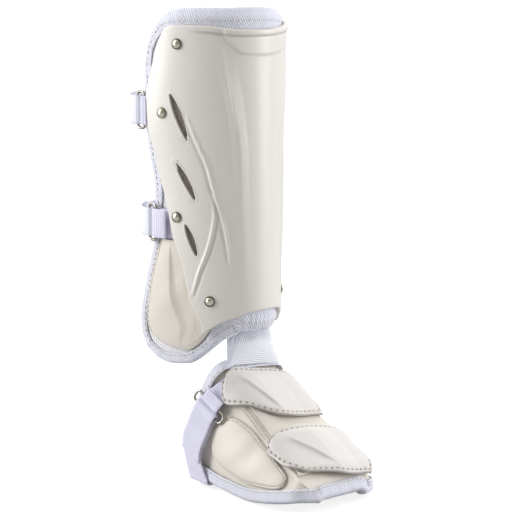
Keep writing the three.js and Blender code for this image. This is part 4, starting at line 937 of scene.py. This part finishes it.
def bandPiece(name, path, wide, width, wall, look, node):
    # a flat band carried along a path, ribbed across its width and cut square at its ends
    way = wayAlong(path)
    out = unit(np.cross(np.gradient(path, axis=0), wide))
    across = np.linspace(-1, 1, 27)
    half = wall / 2 * bandEdge(across) * (1 - 0.03 * np.cos(across * 4.5 * np.pi))
    ring = np.concatenate([np.stack([across, half], -1), np.stack([across, -half], -1)[::-1][1:-1]])
    points = path[:, None] + wide[:, None] * ring[None, :, :1] * width / 2 + out[:, None] * ring[None, :, 1:]
    cloth = np.stack(np.broadcast_arrays(ring[None, :, 0] * width / 2, way[:, None]), -1)
    stations, corners = points.shape[:2]
    # each cut end is closed by a strip of cells across the section
    k = np.arange(1, len(across) - 2)
    strip = np.stack([k, k + 1, corners - k - 1, corners - k], -1)
    faces = [gridFaces(stations, corners, 0, False, True), strip[:, ::-1], strip + (stations - 1) * corners]
    piece = makePiece(name, points, np.vstack(faces), look, cloth)
    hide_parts(node)


def wireRing(name, centre, long, across, length, node):
    # a wire carried round a rounded rectangle
    corner, reach = strap["ringCorner"], strap["ring"]
    line = []
    for k, (sx, sy) in enumerate([(1, 1), (-1, 1), (-1, -1), (1, -1)]):
        a = np.linspace(0, np.pi / 2, 9) + k * np.pi / 2
        line.append(np.stack([sx * (reach / 2 - corner) + corner * np.cos(a),
                              sy * (length / 2 - corner) + corner * np.sin(a)], -1))
    line = np.vstack(line)
    path = centre + line[:, :1] * across + line[:, 1:] * long
    way = unit(np.roll(path, -1, 0) - np.roll(path, 1, 0))
    out = np.cross(across, long)
    side = np.cross(way, out)
    t = np.linspace(0, 2 * np.pi, 16, endpoint=False)[None, :, None]
    section = np.cos(t) * side[:, None] + np.sin(t) * out
    piece = ringPiece(name, path[:, None] + strap["wire"] * section, "steel")
    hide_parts(node)


def buildCalfStrap(name, share, edge, rivetAngle):
    up = np.array([0, 0, 1.0])
    level = share * leg["height"]
    near = legPoint(edge, level, strap["ringOffset"])
    wire, half = near[1] + strap["ring"] / 2 - strap["wire"], abs(near[0])
    depth, radius, start = strap["depth"], strap["foldRadius"], strap["arcStart"]

    def arc(grow, first, last, steps):
        t = np.linspace(first, last, steps)
        return np.stack([-(half + grow) * np.cos(t), wire + (depth + grow) * np.sin(t),
                         np.full(steps, level)], -1)

    # it laps back over itself at each loop
    fold = strap["fold"] / (half + depth)
    turns = [halfTurn(np.array([-sign * half, wire, level]), np.array([-sign, 0, 0]),
                      np.array([0, -1, 0]), radius, 18)[1:-1] for sign in (1, -1)]
    path = np.vstack([arc(radius, fold * strap["innerLap"], start, 26), turns[0],
                      arc(-radius, start, np.pi - start, 120), turns[1][::-1],
                      arc(radius, np.pi - start, np.pi - fold * strap["outerLap"], 14)])
    path = smoothLine(path[::2], 260)
    bandPiece(f"calf_strap_{name}", path, np.broadcast_to(up, path.shape), strap["width"], strap["wall"],
              "webbing", f"strap_{name}")
    for side, sign in (("inner", 1), ("outer", -1)):
        ring = legPoint(sign * edge, level, strap["ringOffset"])
        wireRing(f"calf_ring_{name}_{side}", ring, up, np.array([0, 1.0, 0]),
                 strap["width"] + 5 * strap["wire"], f"strap_ring_{name}_{side}")
        buildCalfTab(name, side, sign, ring, level, edge, rivetAngle)


def buildCalfTab(name, side, sign, ring, level, edge, rivetAngle):
    # webbing from under the shell out over the wire, folded back to the shell's edge
    middle = (layers["webbingOuter"] + layers["webbingInner"]) / 2
    wire = np.array([ring[0], ring[1] - strap["ring"] / 2 + strap["wire"], 0])
    inward = -legOut(np.array(float(sign * edge)))
    along = np.array([-math.cos(math.radians(edge)) * sign, math.sin(math.radians(edge)), 0])
    turn = halfTurn(wire, inward, along, strap["tabRadius"], 20)
    shellEdge = float(readRows(shellEdges["back"], "height", level / leg["height"], "angle"))
    reach = min(math.radians(edge - shellEdge) * leg["sideRadius"], strap["tabBack"])
    across = np.linspace(-1, 1, 21)
    height = level + across * strap["width"] / 2
    raised = lambda place: np.concatenate([place[:, :2], height[:, None]], 1)
    faces = []
    for half in (-0.5, 0.5):
        thick = half * strap["tabWall"] * bandEdge(across)
        run = [legPoint(sign * angle, height, middle + thick)
               for angle in np.linspace(rivetAngle - strap["tabFrom"], edge - strap["tabTo"], 22)]
        run += [raised(at + unit(at - wire) * (-thick)[:, None]) for at in turn]
        for t in np.linspace(0.2, 1, 6):
            # it drops as the leg's face curves away under it
            drop = strap["tabDrop"] * t * t + (reach * t) ** 2 / (2 * leg["sideRadius"])
            run.append(raised(turn[-1] - along * reach * t + inward * (drop + thick)[:, None]))
        faces.append(np.array(run))
    piece = sheetPiece(f"calf_tab_{name}_{side}", faces[0], faces[1], "tabWebbing")
    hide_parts(f"ring_tab_{name}_{side}")


for calfStrap in calfStraps:
    buildCalfStrap(*calfStrap)
print("calf straps made")


# The foot guard's map

footRows = table(
    "share ridgeX ridge innerX inner outerX outer half rimInner rimOuter",
    (0, -0.16, 1.24, 0.73, 0.92, 0.73, 0.86, 0.95, 0.095, 0.095),
    (0.107, -0.18, 1.13, 0.64, 1.06, 0.69, 1.0, 0.98, 0.074, 0.074),
    (0.193, -0.22, 1.005, 0.56, 0.995, 0.67, 0.93, 1, 0.058, 0.058),
    (0.25, -0.24, 0.94, 0.55, 0.925, 0.69, 0.86, 1.01, 0.042, 0.042),
    (0.393, -0.18, 0.79, 0.55, 0.77, 0.71, 0.715, 1.02, 0.021, 0.02),
    (0.536, -0.12, 0.632, 0.55, 0.61, 0.76, 0.558, 1.02, 0.005, 0.012),
    (0.621, -0.04, 0.568, 0.57, 0.537, 0.78, 0.484, 1.02, 0.016, 0.01),
    (0.75, 0.02, 0.447, 0.63, 0.41, 0.78, 0.379, 1, 0.047, 0.012),
    (0.864, 0.04, 0.332, 0.67, 0.316, 0.78, 0.284, 0.96, 0.084, 0.02),
    (0.95, 0.06, 0.242, 0.69, 0.237, 0.73, 0.21, 0.86, 0.11, 0.035),
    (1, 0.06, 0.11, 0.4, 0.115, 0.42, 0.105, 0.56, 0.1, 0.05),
)
footBack = table("u share", (0, 0.035), (0.12, 0), (0.24, 0.02), (0.3, 0.07), (0.36, 0.12), (0.47, 0.14),
                 (0.6, 0.13), (0.67, 0.1), (0.73, 0.045), (0.8, 0.01), (0.88, 0.01), (1, 0.035))
footStops = np.array([0, 0.12, 0.27, 0.35, 0.47, 0.62, 0.7, 0.87, 1])


def footAt(u, share):
    # a section of nine stops, rim to ridge to rim, each read from the rows at that share
    u, share = np.broadcast_arrays(np.asarray(u, float), np.asarray(share, float))
    get = {column: readRows(footRows, "share", share, column) for column in footRows if column != "share"}

    def side(sign, edge, top, rim):
        half = get["half"]
        return [(sign * half, rim), (sign * mix(edge, half, 0.88), mix(top, rim, 0.7)),
                (sign * mix(edge, half, 0.36), mix(top, rim, 0.18)), (sign * edge, top)]

    line = side(-1, get["innerX"], get["inner"], get["rimInner"]) + [(get["ridgeX"], get["ridge"])]
    line += side(1, get["outerX"], get["outer"], get["rimOuter"])[::-1]
    x = np.stack([place[0] for place in line], -1) * foot["halfWidth"]
    z = np.stack([place[1] for place in line], -1) * foot["instep"]
    return np.stack([blendRows(footStops, x, u), foot["back"] - share * foot["length"],
                     blendRows(footStops, z, u)], -1)


def footOut(u, share):
    nudge = 0.004
    across = footAt(np.minimum(u + nudge, 1), share) - footAt(np.maximum(u - nudge, 0), share)
    along = footAt(u, np.minimum(share + nudge, 1)) - footAt(u, np.maximum(share - nudge, 0))
    return unit(np.cross(along, across))


def footPoint(u, share, offset):
    u, share, offset = np.broadcast_arrays(*(np.asarray(x, float) for x in (u, share, offset)))
    return footAt(u, share) + footOut(u, share) * offset[..., None]


def footGrid(columns, rows):
    # u and share of a grid that ends at the cut ankle edge and the toe
    u = np.linspace(0, 1, columns + 1)[None, :]
    back = readRows(footBack, "u", u, "share")
    return np.broadcast_arrays(u, mix(back, 1, np.linspace(0, 1, rows + 1)[:, None]))


cover = {
    "columns": 180, "rows": 170, "pinch": 1.6, "toeInset": 1.6, "fold": 0.35, "betweenPlates": 0.577,
    "stitchRows": {"front": 0.317, "rear": 0.3}, "stitchPitch": 3.4, "stitchLength": 1.9,
}


def buildFootCover():
    u, share = footGrid(cover["columns"], cover["rows"])
    toEnd = np.minimum(share - readRows(footBack, "u", u, "share"), 1 - share)
    edge = np.minimum(np.minimum(u, 1 - u) * 4, toEnd * 3)
    pinch = cover["pinch"] * (1 - np.clip(edge / 0.3, 0, 1)) ** 2
    share = np.minimum(share, 1 - cover["toeInset"] / foot["length"])
    face = footAt(u, share)
    folds = cover["fold"] * np.sin(face[..., 1] / 4.4 + 0.7 * np.sin(face[..., 0] / 8))
    folds = folds * np.clip(edge * 2, 0, 1)
    # a low ridge shows between the two plates
    between = hump(share - cover["betweenPlates"], 0.05) * ease(u, 0.2, 0.3) * (1 - ease(u, 0.66, 0.74))
    outer = footPoint(u, share, np.minimum(folds * 0.5 - pinch, 0.45) - 0.1 + 0.35 * between)
    inner = footPoint(u, share, pinch - foot["wall"] - 0.3 * np.sin(face[..., 1] / 9) * np.clip(edge, 0, 1))
    # painted shade on the low ridge between the two plates
    piece = sheetPiece("foot_cover", outer, inner, "leather", 0.12 * between)
    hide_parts("foot_pad")
    # a double row of stitches holds the instep panel's edge
    places = np.linspace(0.36, 0.62, 60)
    for name, u in cover["stitchRows"].items():
        row = stitchRow(f"foot_cover_stitches_{name}", footPoint(u, places, 0.5), footOut(u, places),
                        cover["stitchPitch"], cover["stitchLength"])


def footRimLoop(count):
    # the whole rim as places: inner side, toe, outer side, ankle edge
    back = lambda u: readRows(footBack, "u", u, "share")
    t = np.linspace(0, 1, count, endpoint=False)
    inner = np.stack([0 * t, mix(back(0.0), 1, t)], -1)
    toe = np.stack([t, 0 * t + 1], -1)
    outer = np.stack([0 * t + 1, mix(1, back(1.0), t)], -1)
    ankle = np.stack([1 - t, back(1 - t)], -1)
    return np.vstack([inner, toe, outer, ankle])


def buildFootBinding():
    u, share = footRimLoop(170).T
    at = blurLoop(footAt(u, share), 4)
    out = unit(blurLoop(footOut(u, share), 9))
    way = unit(np.roll(at, -1, 0) - np.roll(at, 1, 0))
    inward = np.cross(out, way)
    # inward points to a place in the middle of the cover
    centre = footPoint(0.47, 0.55, 0)
    turned = np.sign(np.einsum("ij,ij->i", inward, centre - at))[:, None]
    inward = unit(blurLoop(unit(inward * turned), 5))
    outer = foot["gap"] + foot["tapeWall"]
    profile = tapeProfile(foot["tapeWidth"], outer, -foot["wall"] - outer, foot["tapeWall"])
    length = wayAlong(at)
    ripple = (0.12 * np.sin(length / 2.1) + 0.08 * np.sin(length / 4.9))[:, None, None]
    reach, rise = profile[None, :, :1], profile[None, :, 1:]
    points = at[:, None] + inward[:, None] * (reach - foot["tapeReach"])
    points = points + out[:, None] * (rise + ripple * np.sign(rise + foot["wall"] / 2))
    cloth = np.stack(np.broadcast_arrays(length[:, None], wayAlong(profile)[None, :]), -1)
    # painted shade along the groove of the stitch line
    shade = np.broadcast_to(hump(profile[:, 0] - foot["tapeStitch"], 0.4) * 0.25, points.shape[:2])
    piece = ringPiece("foot_binding_tape", points, "tape", shade, True, cloth)
    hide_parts("foot_binding")
    line = at + inward * (foot["tapeStitch"] - foot["tapeReach"]) + out * (outer + 0.1)
    row = stitchRow("foot_binding_stitches", line, out, 5.0, 3.2)


# Leather on the foot guard: two stiff plates on the instep panel, and a padded side panel

plateRows = {
    "upper": {
        "inner": table("v u", (0, 0.345), (0.1, 0.285), (0.25, 0.265), (0.6, 0.3), (1, 0.365)),
        "outer": table("v u", (0, 0.615), (0.15, 0.645), (0.6, 0.65), (1, 0.62)),
        "top": table("u share", (0, 0.183), (0.4, 0.192), (1, 0.23)),
        "bottom": table("u share", (0, 0.44), (0.4, 0.535), (1, 0.53)),
    },
    "lower": {
        "inner": table("v u", (0, 0.35), (0.08, 0.285), (0.22, 0.266), (0.7, 0.31), (1, 0.37)),
        "outer": table("v u", (0, 0.61), (0.15, 0.645), (0.6, 0.655), (1, 0.64)),
        "top": table("u share", (0, 0.614), (0.4, 0.625), (1, 0.643)),
        "bottom": table("u share", (0, 0.9), (0.4, 0.955), (1, 0.965)),
    },
}
plate = {
    "wall": 2.6, "columns": 170, "rows": 130, "round": 1.5, "ridge": 2.7, "ridgeColumn": 0.4,
    "ridgeReach": 0.3, "groove": 0.35, "swell": 0.35, "stitchIn": 3.2, "pitch": 5.4,
    "stitchLength": 4.212, "hole": 0.8, "holeWidth": 0.85, "foldTop": 0.2, "foldLow": 0.4,
    "foldRise": 1.3, "foldDip": 1.5,
}


def seamPath(across, down, inset):
    # grid places so far in from the edge: down one side, along the bottom, up the other, over the top
    rows, columns = across.shape
    fromRight, fromLow = across[:, -1:] - across, down[-1:] - down
    nearest = lambda gap: int(np.abs(gap - inset).argmin())
    left = [(j, nearest(across[j])) for j in range(2, rows - 2)]
    left = [(j, i) for j, i in left if inset < down[j, i] < down[-1, i] - inset]
    bottom = [(nearest(fromLow[:, i]), i) for i in range(left[-1][1], columns - 3)]
    bottom = [(j, i) for j, i in bottom if fromRight[j, i] > inset]
    right = [(j, nearest(fromRight[j])) for j in range(bottom[-1][0], 2, -1)]
    right = [(j, i) for j, i in right if down[j, i] > inset]
    top = [(nearest(down[:, i]), i) for i in range(right[-1][1], left[0][1], -1)]
    return np.array(left + bottom + right + top)


def plateFold(a, v):
    # a pinched fold, a valley with a ridge beside it, runs slantwise down the inner side
    line = mix(plate["foldTop"], plate["foldLow"], v)
    gap = np.abs(a - line)
    crest = plate["foldRise"] * np.exp(-gap / 0.07)
    valley = mix(-plate["foldDip"], plate["foldRise"], np.exp(-gap / 0.02)) * np.exp(-gap / 0.09)
    return ease(v, 0.1, 0.35) * (1 - ease(v, 0.7, 0.92)) * np.where(a > line, crest, valley)


def buildPlate(name):
    rows, column = plateRows[name], plate["ridgeColumn"]
    a, v = gridShares(plate["columns"], plate["rows"])
    inner, outer = readRows(rows["inner"], "v", v, "u"), readRows(rows["outer"], "v", v, "u")
    u = np.where(a < column, mix(inner, foot["ridge"], a / column),
                 mix(foot["ridge"], outer, (a - column) / (1 - column)))
    share = mix(readRows(rows["top"], "u", a, "share"), readRows(rows["bottom"], "u", a, "share"), v)
    peak = 1 - np.sqrt((a - column) ** 2 + 0.0003) / plate["ridgeReach"]
    peak = plate["ridge"] * np.clip(peak, 0, 1) * ease(v, 0, 0.2)
    face, out = footPoint(u, share, foot["plateLift"] + peak), footOut(u, share)
    across, down = gridWays(face)
    edge, sink = roundedEdge(across, down, plate["round"])
    # the foam under the leather lets it swell inside the seam and sink along it
    seam = hump(edge - plate["stitchIn"], 0.8)
    swell = plate["swell"] * ease(edge, plate["stitchIn"], plate["stitchIn"] + 5)
    level = plate["wall"] - sink - plate["groove"] * seam + swell + plateFold(a, v)
    top = face + out * level[..., None]
    path = seamPath(across, down, plate["stitchIn"])
    line = smoothLine(top[path[:, 0], path[:, 1]][::6], 900)
    begin, end = spacedAlong(line, plate["pitch"], plate["stitchLength"])
    near = np.linalg.norm(top.reshape(-1, 3)[None] - begin[:, None], axis=2).argmin(1)
    # needle holes halfway between the stitches: dimples, with painted shade inside
    far = np.full(edge.shape, 9.0)
    for hole in begin - unit(end - begin) * (plate["pitch"] - plate["stitchLength"]) / 2:
        far = np.minimum(far, np.linalg.norm(top - hole, axis=-1))
    top = top - out * (plate["hole"] * hump(far, plate["holeWidth"]))[..., None]
    # painted shade in the needle holes, along the seam's groove and round the rounded edge
    shade = hump(far, 0.8) + 0.2 * seam + 0.35 * hump(edge, 0.5)
    piece = sheetPiece(f"foot_plate_{name}_leather", top, face, "plate", shade, np.stack([across, down], -1))
    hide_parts(f"foot_plate_{name}")
    row = threads(f"foot_plate_{name}_stitches", begin, end, out.reshape(-1, 3)[near], 0.34, 0.0)


def buildInstepPanel():
    a, v = gridShares(60, 120)
    u, share = np.broadcast_arrays(mix(0.34, 0.62, a), mix(0.24, 0.9, v))
    wave = 0.15 * np.sin(share * 140) * hump(share - cover["betweenPlates"], 0.06)
    low, high = foot["tongueLift"], foot["tongueLift"] + foot["tongueWall"] + wave
    piece = sheetPiece("instep_panel_leather", footPoint(u, share, high), footPoint(u, share, low), "leather")
    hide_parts("instep_panel")


sidePanel = {
    "columns": 90, "rows": 160, "from": 0.19, "to": 0.83, "wall": 1.998, "dome": 3.5, "groove": 0.45,
    "stitchIn": 2.2, "stitchPitch": 5.0, "stitchLength": 3.3,
    "edges": table("v low high", (0, 0.14, 0.17), (0.05, 0.11, 0.195), (0.2, 0.088, 0.25),
                   (0.45, 0.085, 0.277), (0.62, 0.09, 0.275), (0.78, 0.1, 0.272), (0.9, 0.112, 0.264),
                   (0.97, 0.132, 0.25), (1, 0.165, 0.222)),
}


def buildSidePanel():
    a, v = gridShares(sidePanel["columns"], sidePanel["rows"])
    low, high = (readRows(sidePanel["edges"], "v", v, column) for column in ("low", "high"))
    u, share = np.broadcast_arrays(mix(low, high, a), mix(sidePanel["from"], sidePanel["to"], v))
    dome = np.sin(np.pi * a) ** 0.6 * np.sin(np.pi * v) ** 0.5
    face = footAt(u, share)
    fromHigh = np.linalg.norm(face - face[:, -1:], axis=-1)
    rim = np.minimum(fromHigh, np.linalg.norm(face - face[:, :1], axis=-1))
    seam = hump(rim - sidePanel["stitchIn"], 0.7) * (dome > 0.1)
    creases = 0.25 * np.sin(face[..., 1] / 6 + face[..., 2] / 5) * dome
    wall = sidePanel["wall"] * np.clip(rim / 1.2, 0, 1) ** 0.5
    top = foot["tongueLift"] + wall + sidePanel["dome"] * dome - sidePanel["groove"] * seam + creases
    outer = footPoint(u, share, top)
    # painted shade along the seam's groove
    piece = sheetPiece("foot_side_panel_leather", outer, footPoint(u, share, foot["tongueLift"]), "leather",
                       0.25 * seam)
    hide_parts("foot_side_panel")
    # stitches follow the upper edge, short of the patch's two ends
    kept = slice(14, -14)
    nearest = np.abs(fromHigh[kept] - sidePanel["stitchIn"]).argmin(1)
    rows = np.arange(len(nearest))
    row = stitchRow("foot_side_panel_stitches", outer[kept][rows, nearest],
                    footOut(u, share)[kept][rows, nearest], sidePanel["stitchPitch"],
                    sidePanel["stitchLength"], 0.4, 0.25)


buildFootCover()
buildFootBinding()
buildInstepPanel()
for plateName in plateRows:
    buildPlate(plateName)
buildSidePanel()
print("foot guard made")


# The foot strap, its rings and their tabs

footStrap = {
    "width": 25, "back": 11, "tab": 20, "ringU": 0.222, "ringShare": 0.15, "tilt": 30, "tabBack": 9,
    "tabDrop": 1.5,
}
footStrap["lift"] = foot["gap"] + foot["tapeWall"] + 3 * strap["clear"] + strap["wall"] + strap["wire"]
# from the ring down and under the sole to its middle: shares of the half width, the strap's way back
# and the ring's height
footStrapRows = np.array([(1.065, 0.45, 0.74), (1.11, 0.85, 0.56), (1.12, 0.95, 0.38), (1.1, 0.7, 0.2),
                          (1.08, 0.5, 0.09), (1.07, 0.4, 0.02), (0.985, 0.35, 0), (0.5, 0.35, 0),
                          (0, 0.35, 0)])
# from the cover up to the ring: u, share and the share of the ring's lift
footTabRows = [(0.318, 0.24, 0), (0.3, 0.225, 0), (0.282, 0.205, 0.05), (0.264, 0.18, 0.5),
               (0.25, 0.162, 0.9)]


def footRing(sign):
    u, share = np.array(footStrap["ringU"] if sign > 0 else 1 - footStrap["ringU"]), footStrap["ringShare"]
    out = footOut(u, share)
    tilt = math.radians(footStrap["tilt"])
    wide = np.array([0, -math.cos(tilt), -math.sin(tilt)])
    wide = unit(wide - out * (wide @ out))
    down = unit(np.cross(out, wide))
    down = down * -np.sign(down[2])
    at = footPoint(u, share, footStrap["lift"])
    half = strap["ring"] / 2 - strap["wire"]
    return {"sign": sign, "at": at, "out": out, "wide": wide, "down": down, "low": at + down * half,
            "high": at - down * half}


def footStrapHalf(ring):
    # from a ring to the sole's middle: the end folded back outside, the turn round the wire, the run
    radius = strap["foldRadius"]
    start = ring["low"] - ring["out"] * radius
    floor = strap["wall"] / 2 + strap["clear"]
    line = np.stack([-ring["sign"] * footStrapRows[:, 0] * foot["halfWidth"],
                     ring["low"][1] + footStrapRows[:, 1] * footStrap["back"],
                     mix(floor, start[2], footStrapRows[:, 2])], -1)
    run = np.vstack([start, start + ring["down"] * 2 * radius, line])
    flap = []
    for k in range(4):
        way = unit(run[k + 2] - run[k])
        out = unit(np.cross(way, ring["wide"])) * ring["sign"]
        gap = mix(2 * radius, strap["wall"] + 0.6, float(ease(k + 1, 0, 3)))
        flap.append(run[k + 1] + out * gap)
    turn = halfTurn(ring["low"], ring["out"], -ring["down"], radius, 6)[:-1]
    return np.vstack([flap[::-1], turn, run])


def buildFootStrap():
    rings = {"inner": footRing(1), "outer": footRing(-1)}
    near, far = (footStrapHalf(ring) for ring in rings.values())
    path = smoothLine(np.vstack([near, far[:-1][::-1]]), 420)
    # its width lies level under the sole, and along each ring at the two ends
    t = np.linspace(0, 1, len(path))[:, None]
    level = ease(0.5 - np.abs(t - 0.5), 0.25, 0.4)
    wide = np.where(t < 0.5, rings["inner"]["wide"], rings["outer"]["wide"])
    wide = unit(mix(wide, np.array([0, -1.0, 0]), level))
    bandPiece("shoe_strap", path, wide, footStrap["width"], strap["wall"], "tabWebbing", "foot_strap")
    for side, ring in rings.items():
        wireRing(f"shoe_ring_{side}", ring["at"], ring["wide"], ring["down"],
                 footStrap["width"] + 9 * strap["wire"], f"foot_strap_ring_{side}")
        buildFootTab(side, ring)


def buildFootTab(side, ring):
    # webbing from the cover out over the wire, folded back over itself
    turn = halfTurn(ring["high"], -ring["out"], ring["down"], strap["tabRadius"], 16)
    low, high = foot["tongueLift"] + strap["tabWall"] / 2, footStrap["lift"] - strap["tabRadius"]
    across = np.linspace(-0.5, 0.5, 21)
    wide = ring["wide"] * (across * footStrap["tab"])[:, None]
    spread = across * footStrap["tab"] * math.cos(math.radians(footStrap["tilt"])) / foot["length"]
    faces = []
    for half in (0.5, -0.5):
        thick = half * strap["tabWall"] * bandEdge(across * 2)
        run = []
        for u, share, rise in smoothLine(footTabRows, 20):
            u = u if ring["sign"] > 0 else 1 - u
            run.append(footPoint(u, share + spread, mix(low, high, rise) + thick))
        run += [at - unit(at - ring["high"]) * thick[:, None] + wide for at in turn]
        for t in np.linspace(0.12, 1, 8):
            back = ring["down"] * footStrap["tabBack"] * t + ring["out"] * footStrap["tabDrop"] * t * t
            run.append(turn[-1] - back - ring["out"] * thick[:, None] + wide)
        faces.append(np.array(run))
    piece = sheetPiece(f"shoe_tab_{side}", faces[0], faces[1], "tabWebbing")
    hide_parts(f"foot_strap_tab_{side}")


buildFootStrap()
print("foot strap made")


# The elastic link: knitted ribs across it, gathered at its sewn upper edge

elastic = {
    "columns": 260, "rows": 140, "angle": 49, "fromU": 0.355, "toU": 0.61, "endShare": 0.172, "endLift": 1.6,
    "startDrop": 0.8, "wall": 1.5, "ribs": 17, "rib": 0.28, "gathers": 26, "gather": 0.75,
}


def buildElastic():
    a, v = gridShares(elastic["columns"], elastic["rows"])
    angle = mix(-elastic["angle"], elastic["angle"], a)
    middle = (layers["padOuter"] + layers["padInner"]) / 2
    top = readRows(edgeRows["bottom"], "angle", -angle, "height") * leg["height"] - elastic["startDrop"]
    u, share = mix(elastic["fromU"], elastic["toU"], a), np.full(a.shape, elastic["endShare"])
    seat = foot["gap"] + elastic["endLift"]
    out = unit(footOut(u, share) + legOut(-angle))
    rib = elastic["rib"] * np.cos(2 * np.pi * elastic["ribs"] * v) * (0.35 + 0.65 * ease(v, 0.1, 0.6))
    gather = np.sin(2 * np.pi * elastic["gathers"] * a + 1.5 * np.sin(a * 17)) * (1 - ease(v, 0.0, 0.5))
    edge = ease(np.minimum(a, 1 - a), 0, 0.02)
    faces = []
    for half in (1, 0):
        start = legPoint(-angle, top, middle + (half - 0.5) * elastic["wall"])
        face = mix(start, footPoint(u, share, seat + half * elastic["wall"]), v[..., None])
        level = (rib * (half * 2 - 1) + elastic["gather"] * gather) * edge
        faces.append(face + out * level[..., None])
    cloth = surfaceLengths(faces[0])
    piece = sheetPiece("elastic_link_knit", faces[0], faces[1], "elastic", None, cloth)
    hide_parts("elastic_link")


buildElastic()


# Studio: a pale floor, soft light from both sides, the photograph's viewpoint

studio = {
    "azimuth": -42, "elevation": 11, "distance": 1.7, "target": (0, -0.045, -0.065), "lens": 138.35,
    "sensor": 36, "floor": "#a8a8a8", "floorHalf": 40, "floorGap": 0.0004, "floorGlow": 0.75,
    "dimFrom": 22, "bright": 1.5, "dim": 0.28,
}
# azimuth from the camera's, elevation, distance, width and height, and power
lamps = {
    "left_softbox": (-84, 18, 1.6, (0.7, 1.5), 18),
    "right_softbox": (80, 18, 1.6, (0.7, 1.5), 13.5),
    "overhead": (10, 78, 1.7, (1.4, 1.4), 0.6),
}


def direction(azimuth, elevation):
    # azimuth counts from the camera's
    a, e = math.radians(studio["azimuth"] + azimuth), math.radians(elevation)
    return Vector((math.sin(a) * math.cos(e), -math.cos(a) * math.cos(e), math.sin(e)))


def standAt(thing, azimuth, elevation, distance):
    # a lamp or the camera stands round the target and faces it
    target = Vector(studio["target"])
    thing.location = target + direction(azimuth, elevation) * distance
    thing.rotation_euler = (target - thing.location).to_track_quat("-Z", "Y").to_euler()
    bpy.context.scene.collection.objects.link(thing)


def addFloor():
    level = min(corner[2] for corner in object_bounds()) - studio["floorGap"]
    mesh = bpy.data.meshes.new("studio_floor")
    corners = [(x * studio["floorHalf"], y * studio["floorHalf"], level)
               for x, y in ((-1, -1), (1, -1), (1, 1), (-1, 1))]
    mesh.from_pydata(corners, [], [(0, 1, 2, 3)])
    # pale paper that looks white in the picture: the camera sees it glow, but it lights nothing
    material, tree, shader = startMaterial("matt_paper", studio["floor"], 0.95)
    shader.inputs["Emission Color"].default_value = (1, 1, 1, 1)
    ray = addNode(tree, "ShaderNodeLightPath")
    glow = calculate(tree, "MULTIPLY", ray.outputs["Is Camera Ray"], studio["floorGlow"])
    tree.links.new(glow, shader.inputs["Emission Strength"])
    mesh.materials.append(material)
    floor = bpy.data.objects.new("studio_floor", mesh)
    bpy.context.scene.collection.objects.link(floor)
    floor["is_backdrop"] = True


def addLamp(name, azimuth, elevation, distance, size, power):
    data = bpy.data.lights.new(name, "AREA")
    data.shape, data.size, data.size_y, data.energy = "RECTANGLE", size[0], size[1], power
    standAt(bpy.data.objects.new(name, data), azimuth, elevation, distance)


def addWorld():
    # a white room, dimmest from a little above the camera and brightest behind the part
    world = bpy.data.worlds.new("white_room")
    bpy.context.scene.world = world
    world.use_nodes = True
    tree = world.node_tree
    ground = tree.nodes["Background"]
    place = addNode(tree, "ShaderNodeTexCoord").outputs["Generated"]
    facing = addNode(tree, "ShaderNodeVectorMath",
                     {"operation": "DOT_PRODUCT", 1: direction(0, studio["dimFrom"])}, {0: place})
    level = addNode(tree, "ShaderNodeMapRange", {1: -0.2, 2: 0.8, 3: studio["bright"], 4: studio["dim"]},
                    {0: facing.outputs["Value"]})
    tree.links.new(level.outputs[0], ground.inputs["Strength"])
    ground.inputs["Color"].default_value = (1, 1, 1, 1)


addFloor()
addWorld()
for lamp, values in lamps.items():
    addLamp(lamp, *values)

camera = bpy.data.objects.new("camera", bpy.data.cameras.new("camera"))
camera.data.lens = studio["lens"]
camera.data.sensor_width = studio["sensor"]
standAt(camera, 0, studio["elevation"], studio["distance"])
bpy.context.scene.camera = camera
bpy.context.scene.view_settings.view_transform = "Standard"
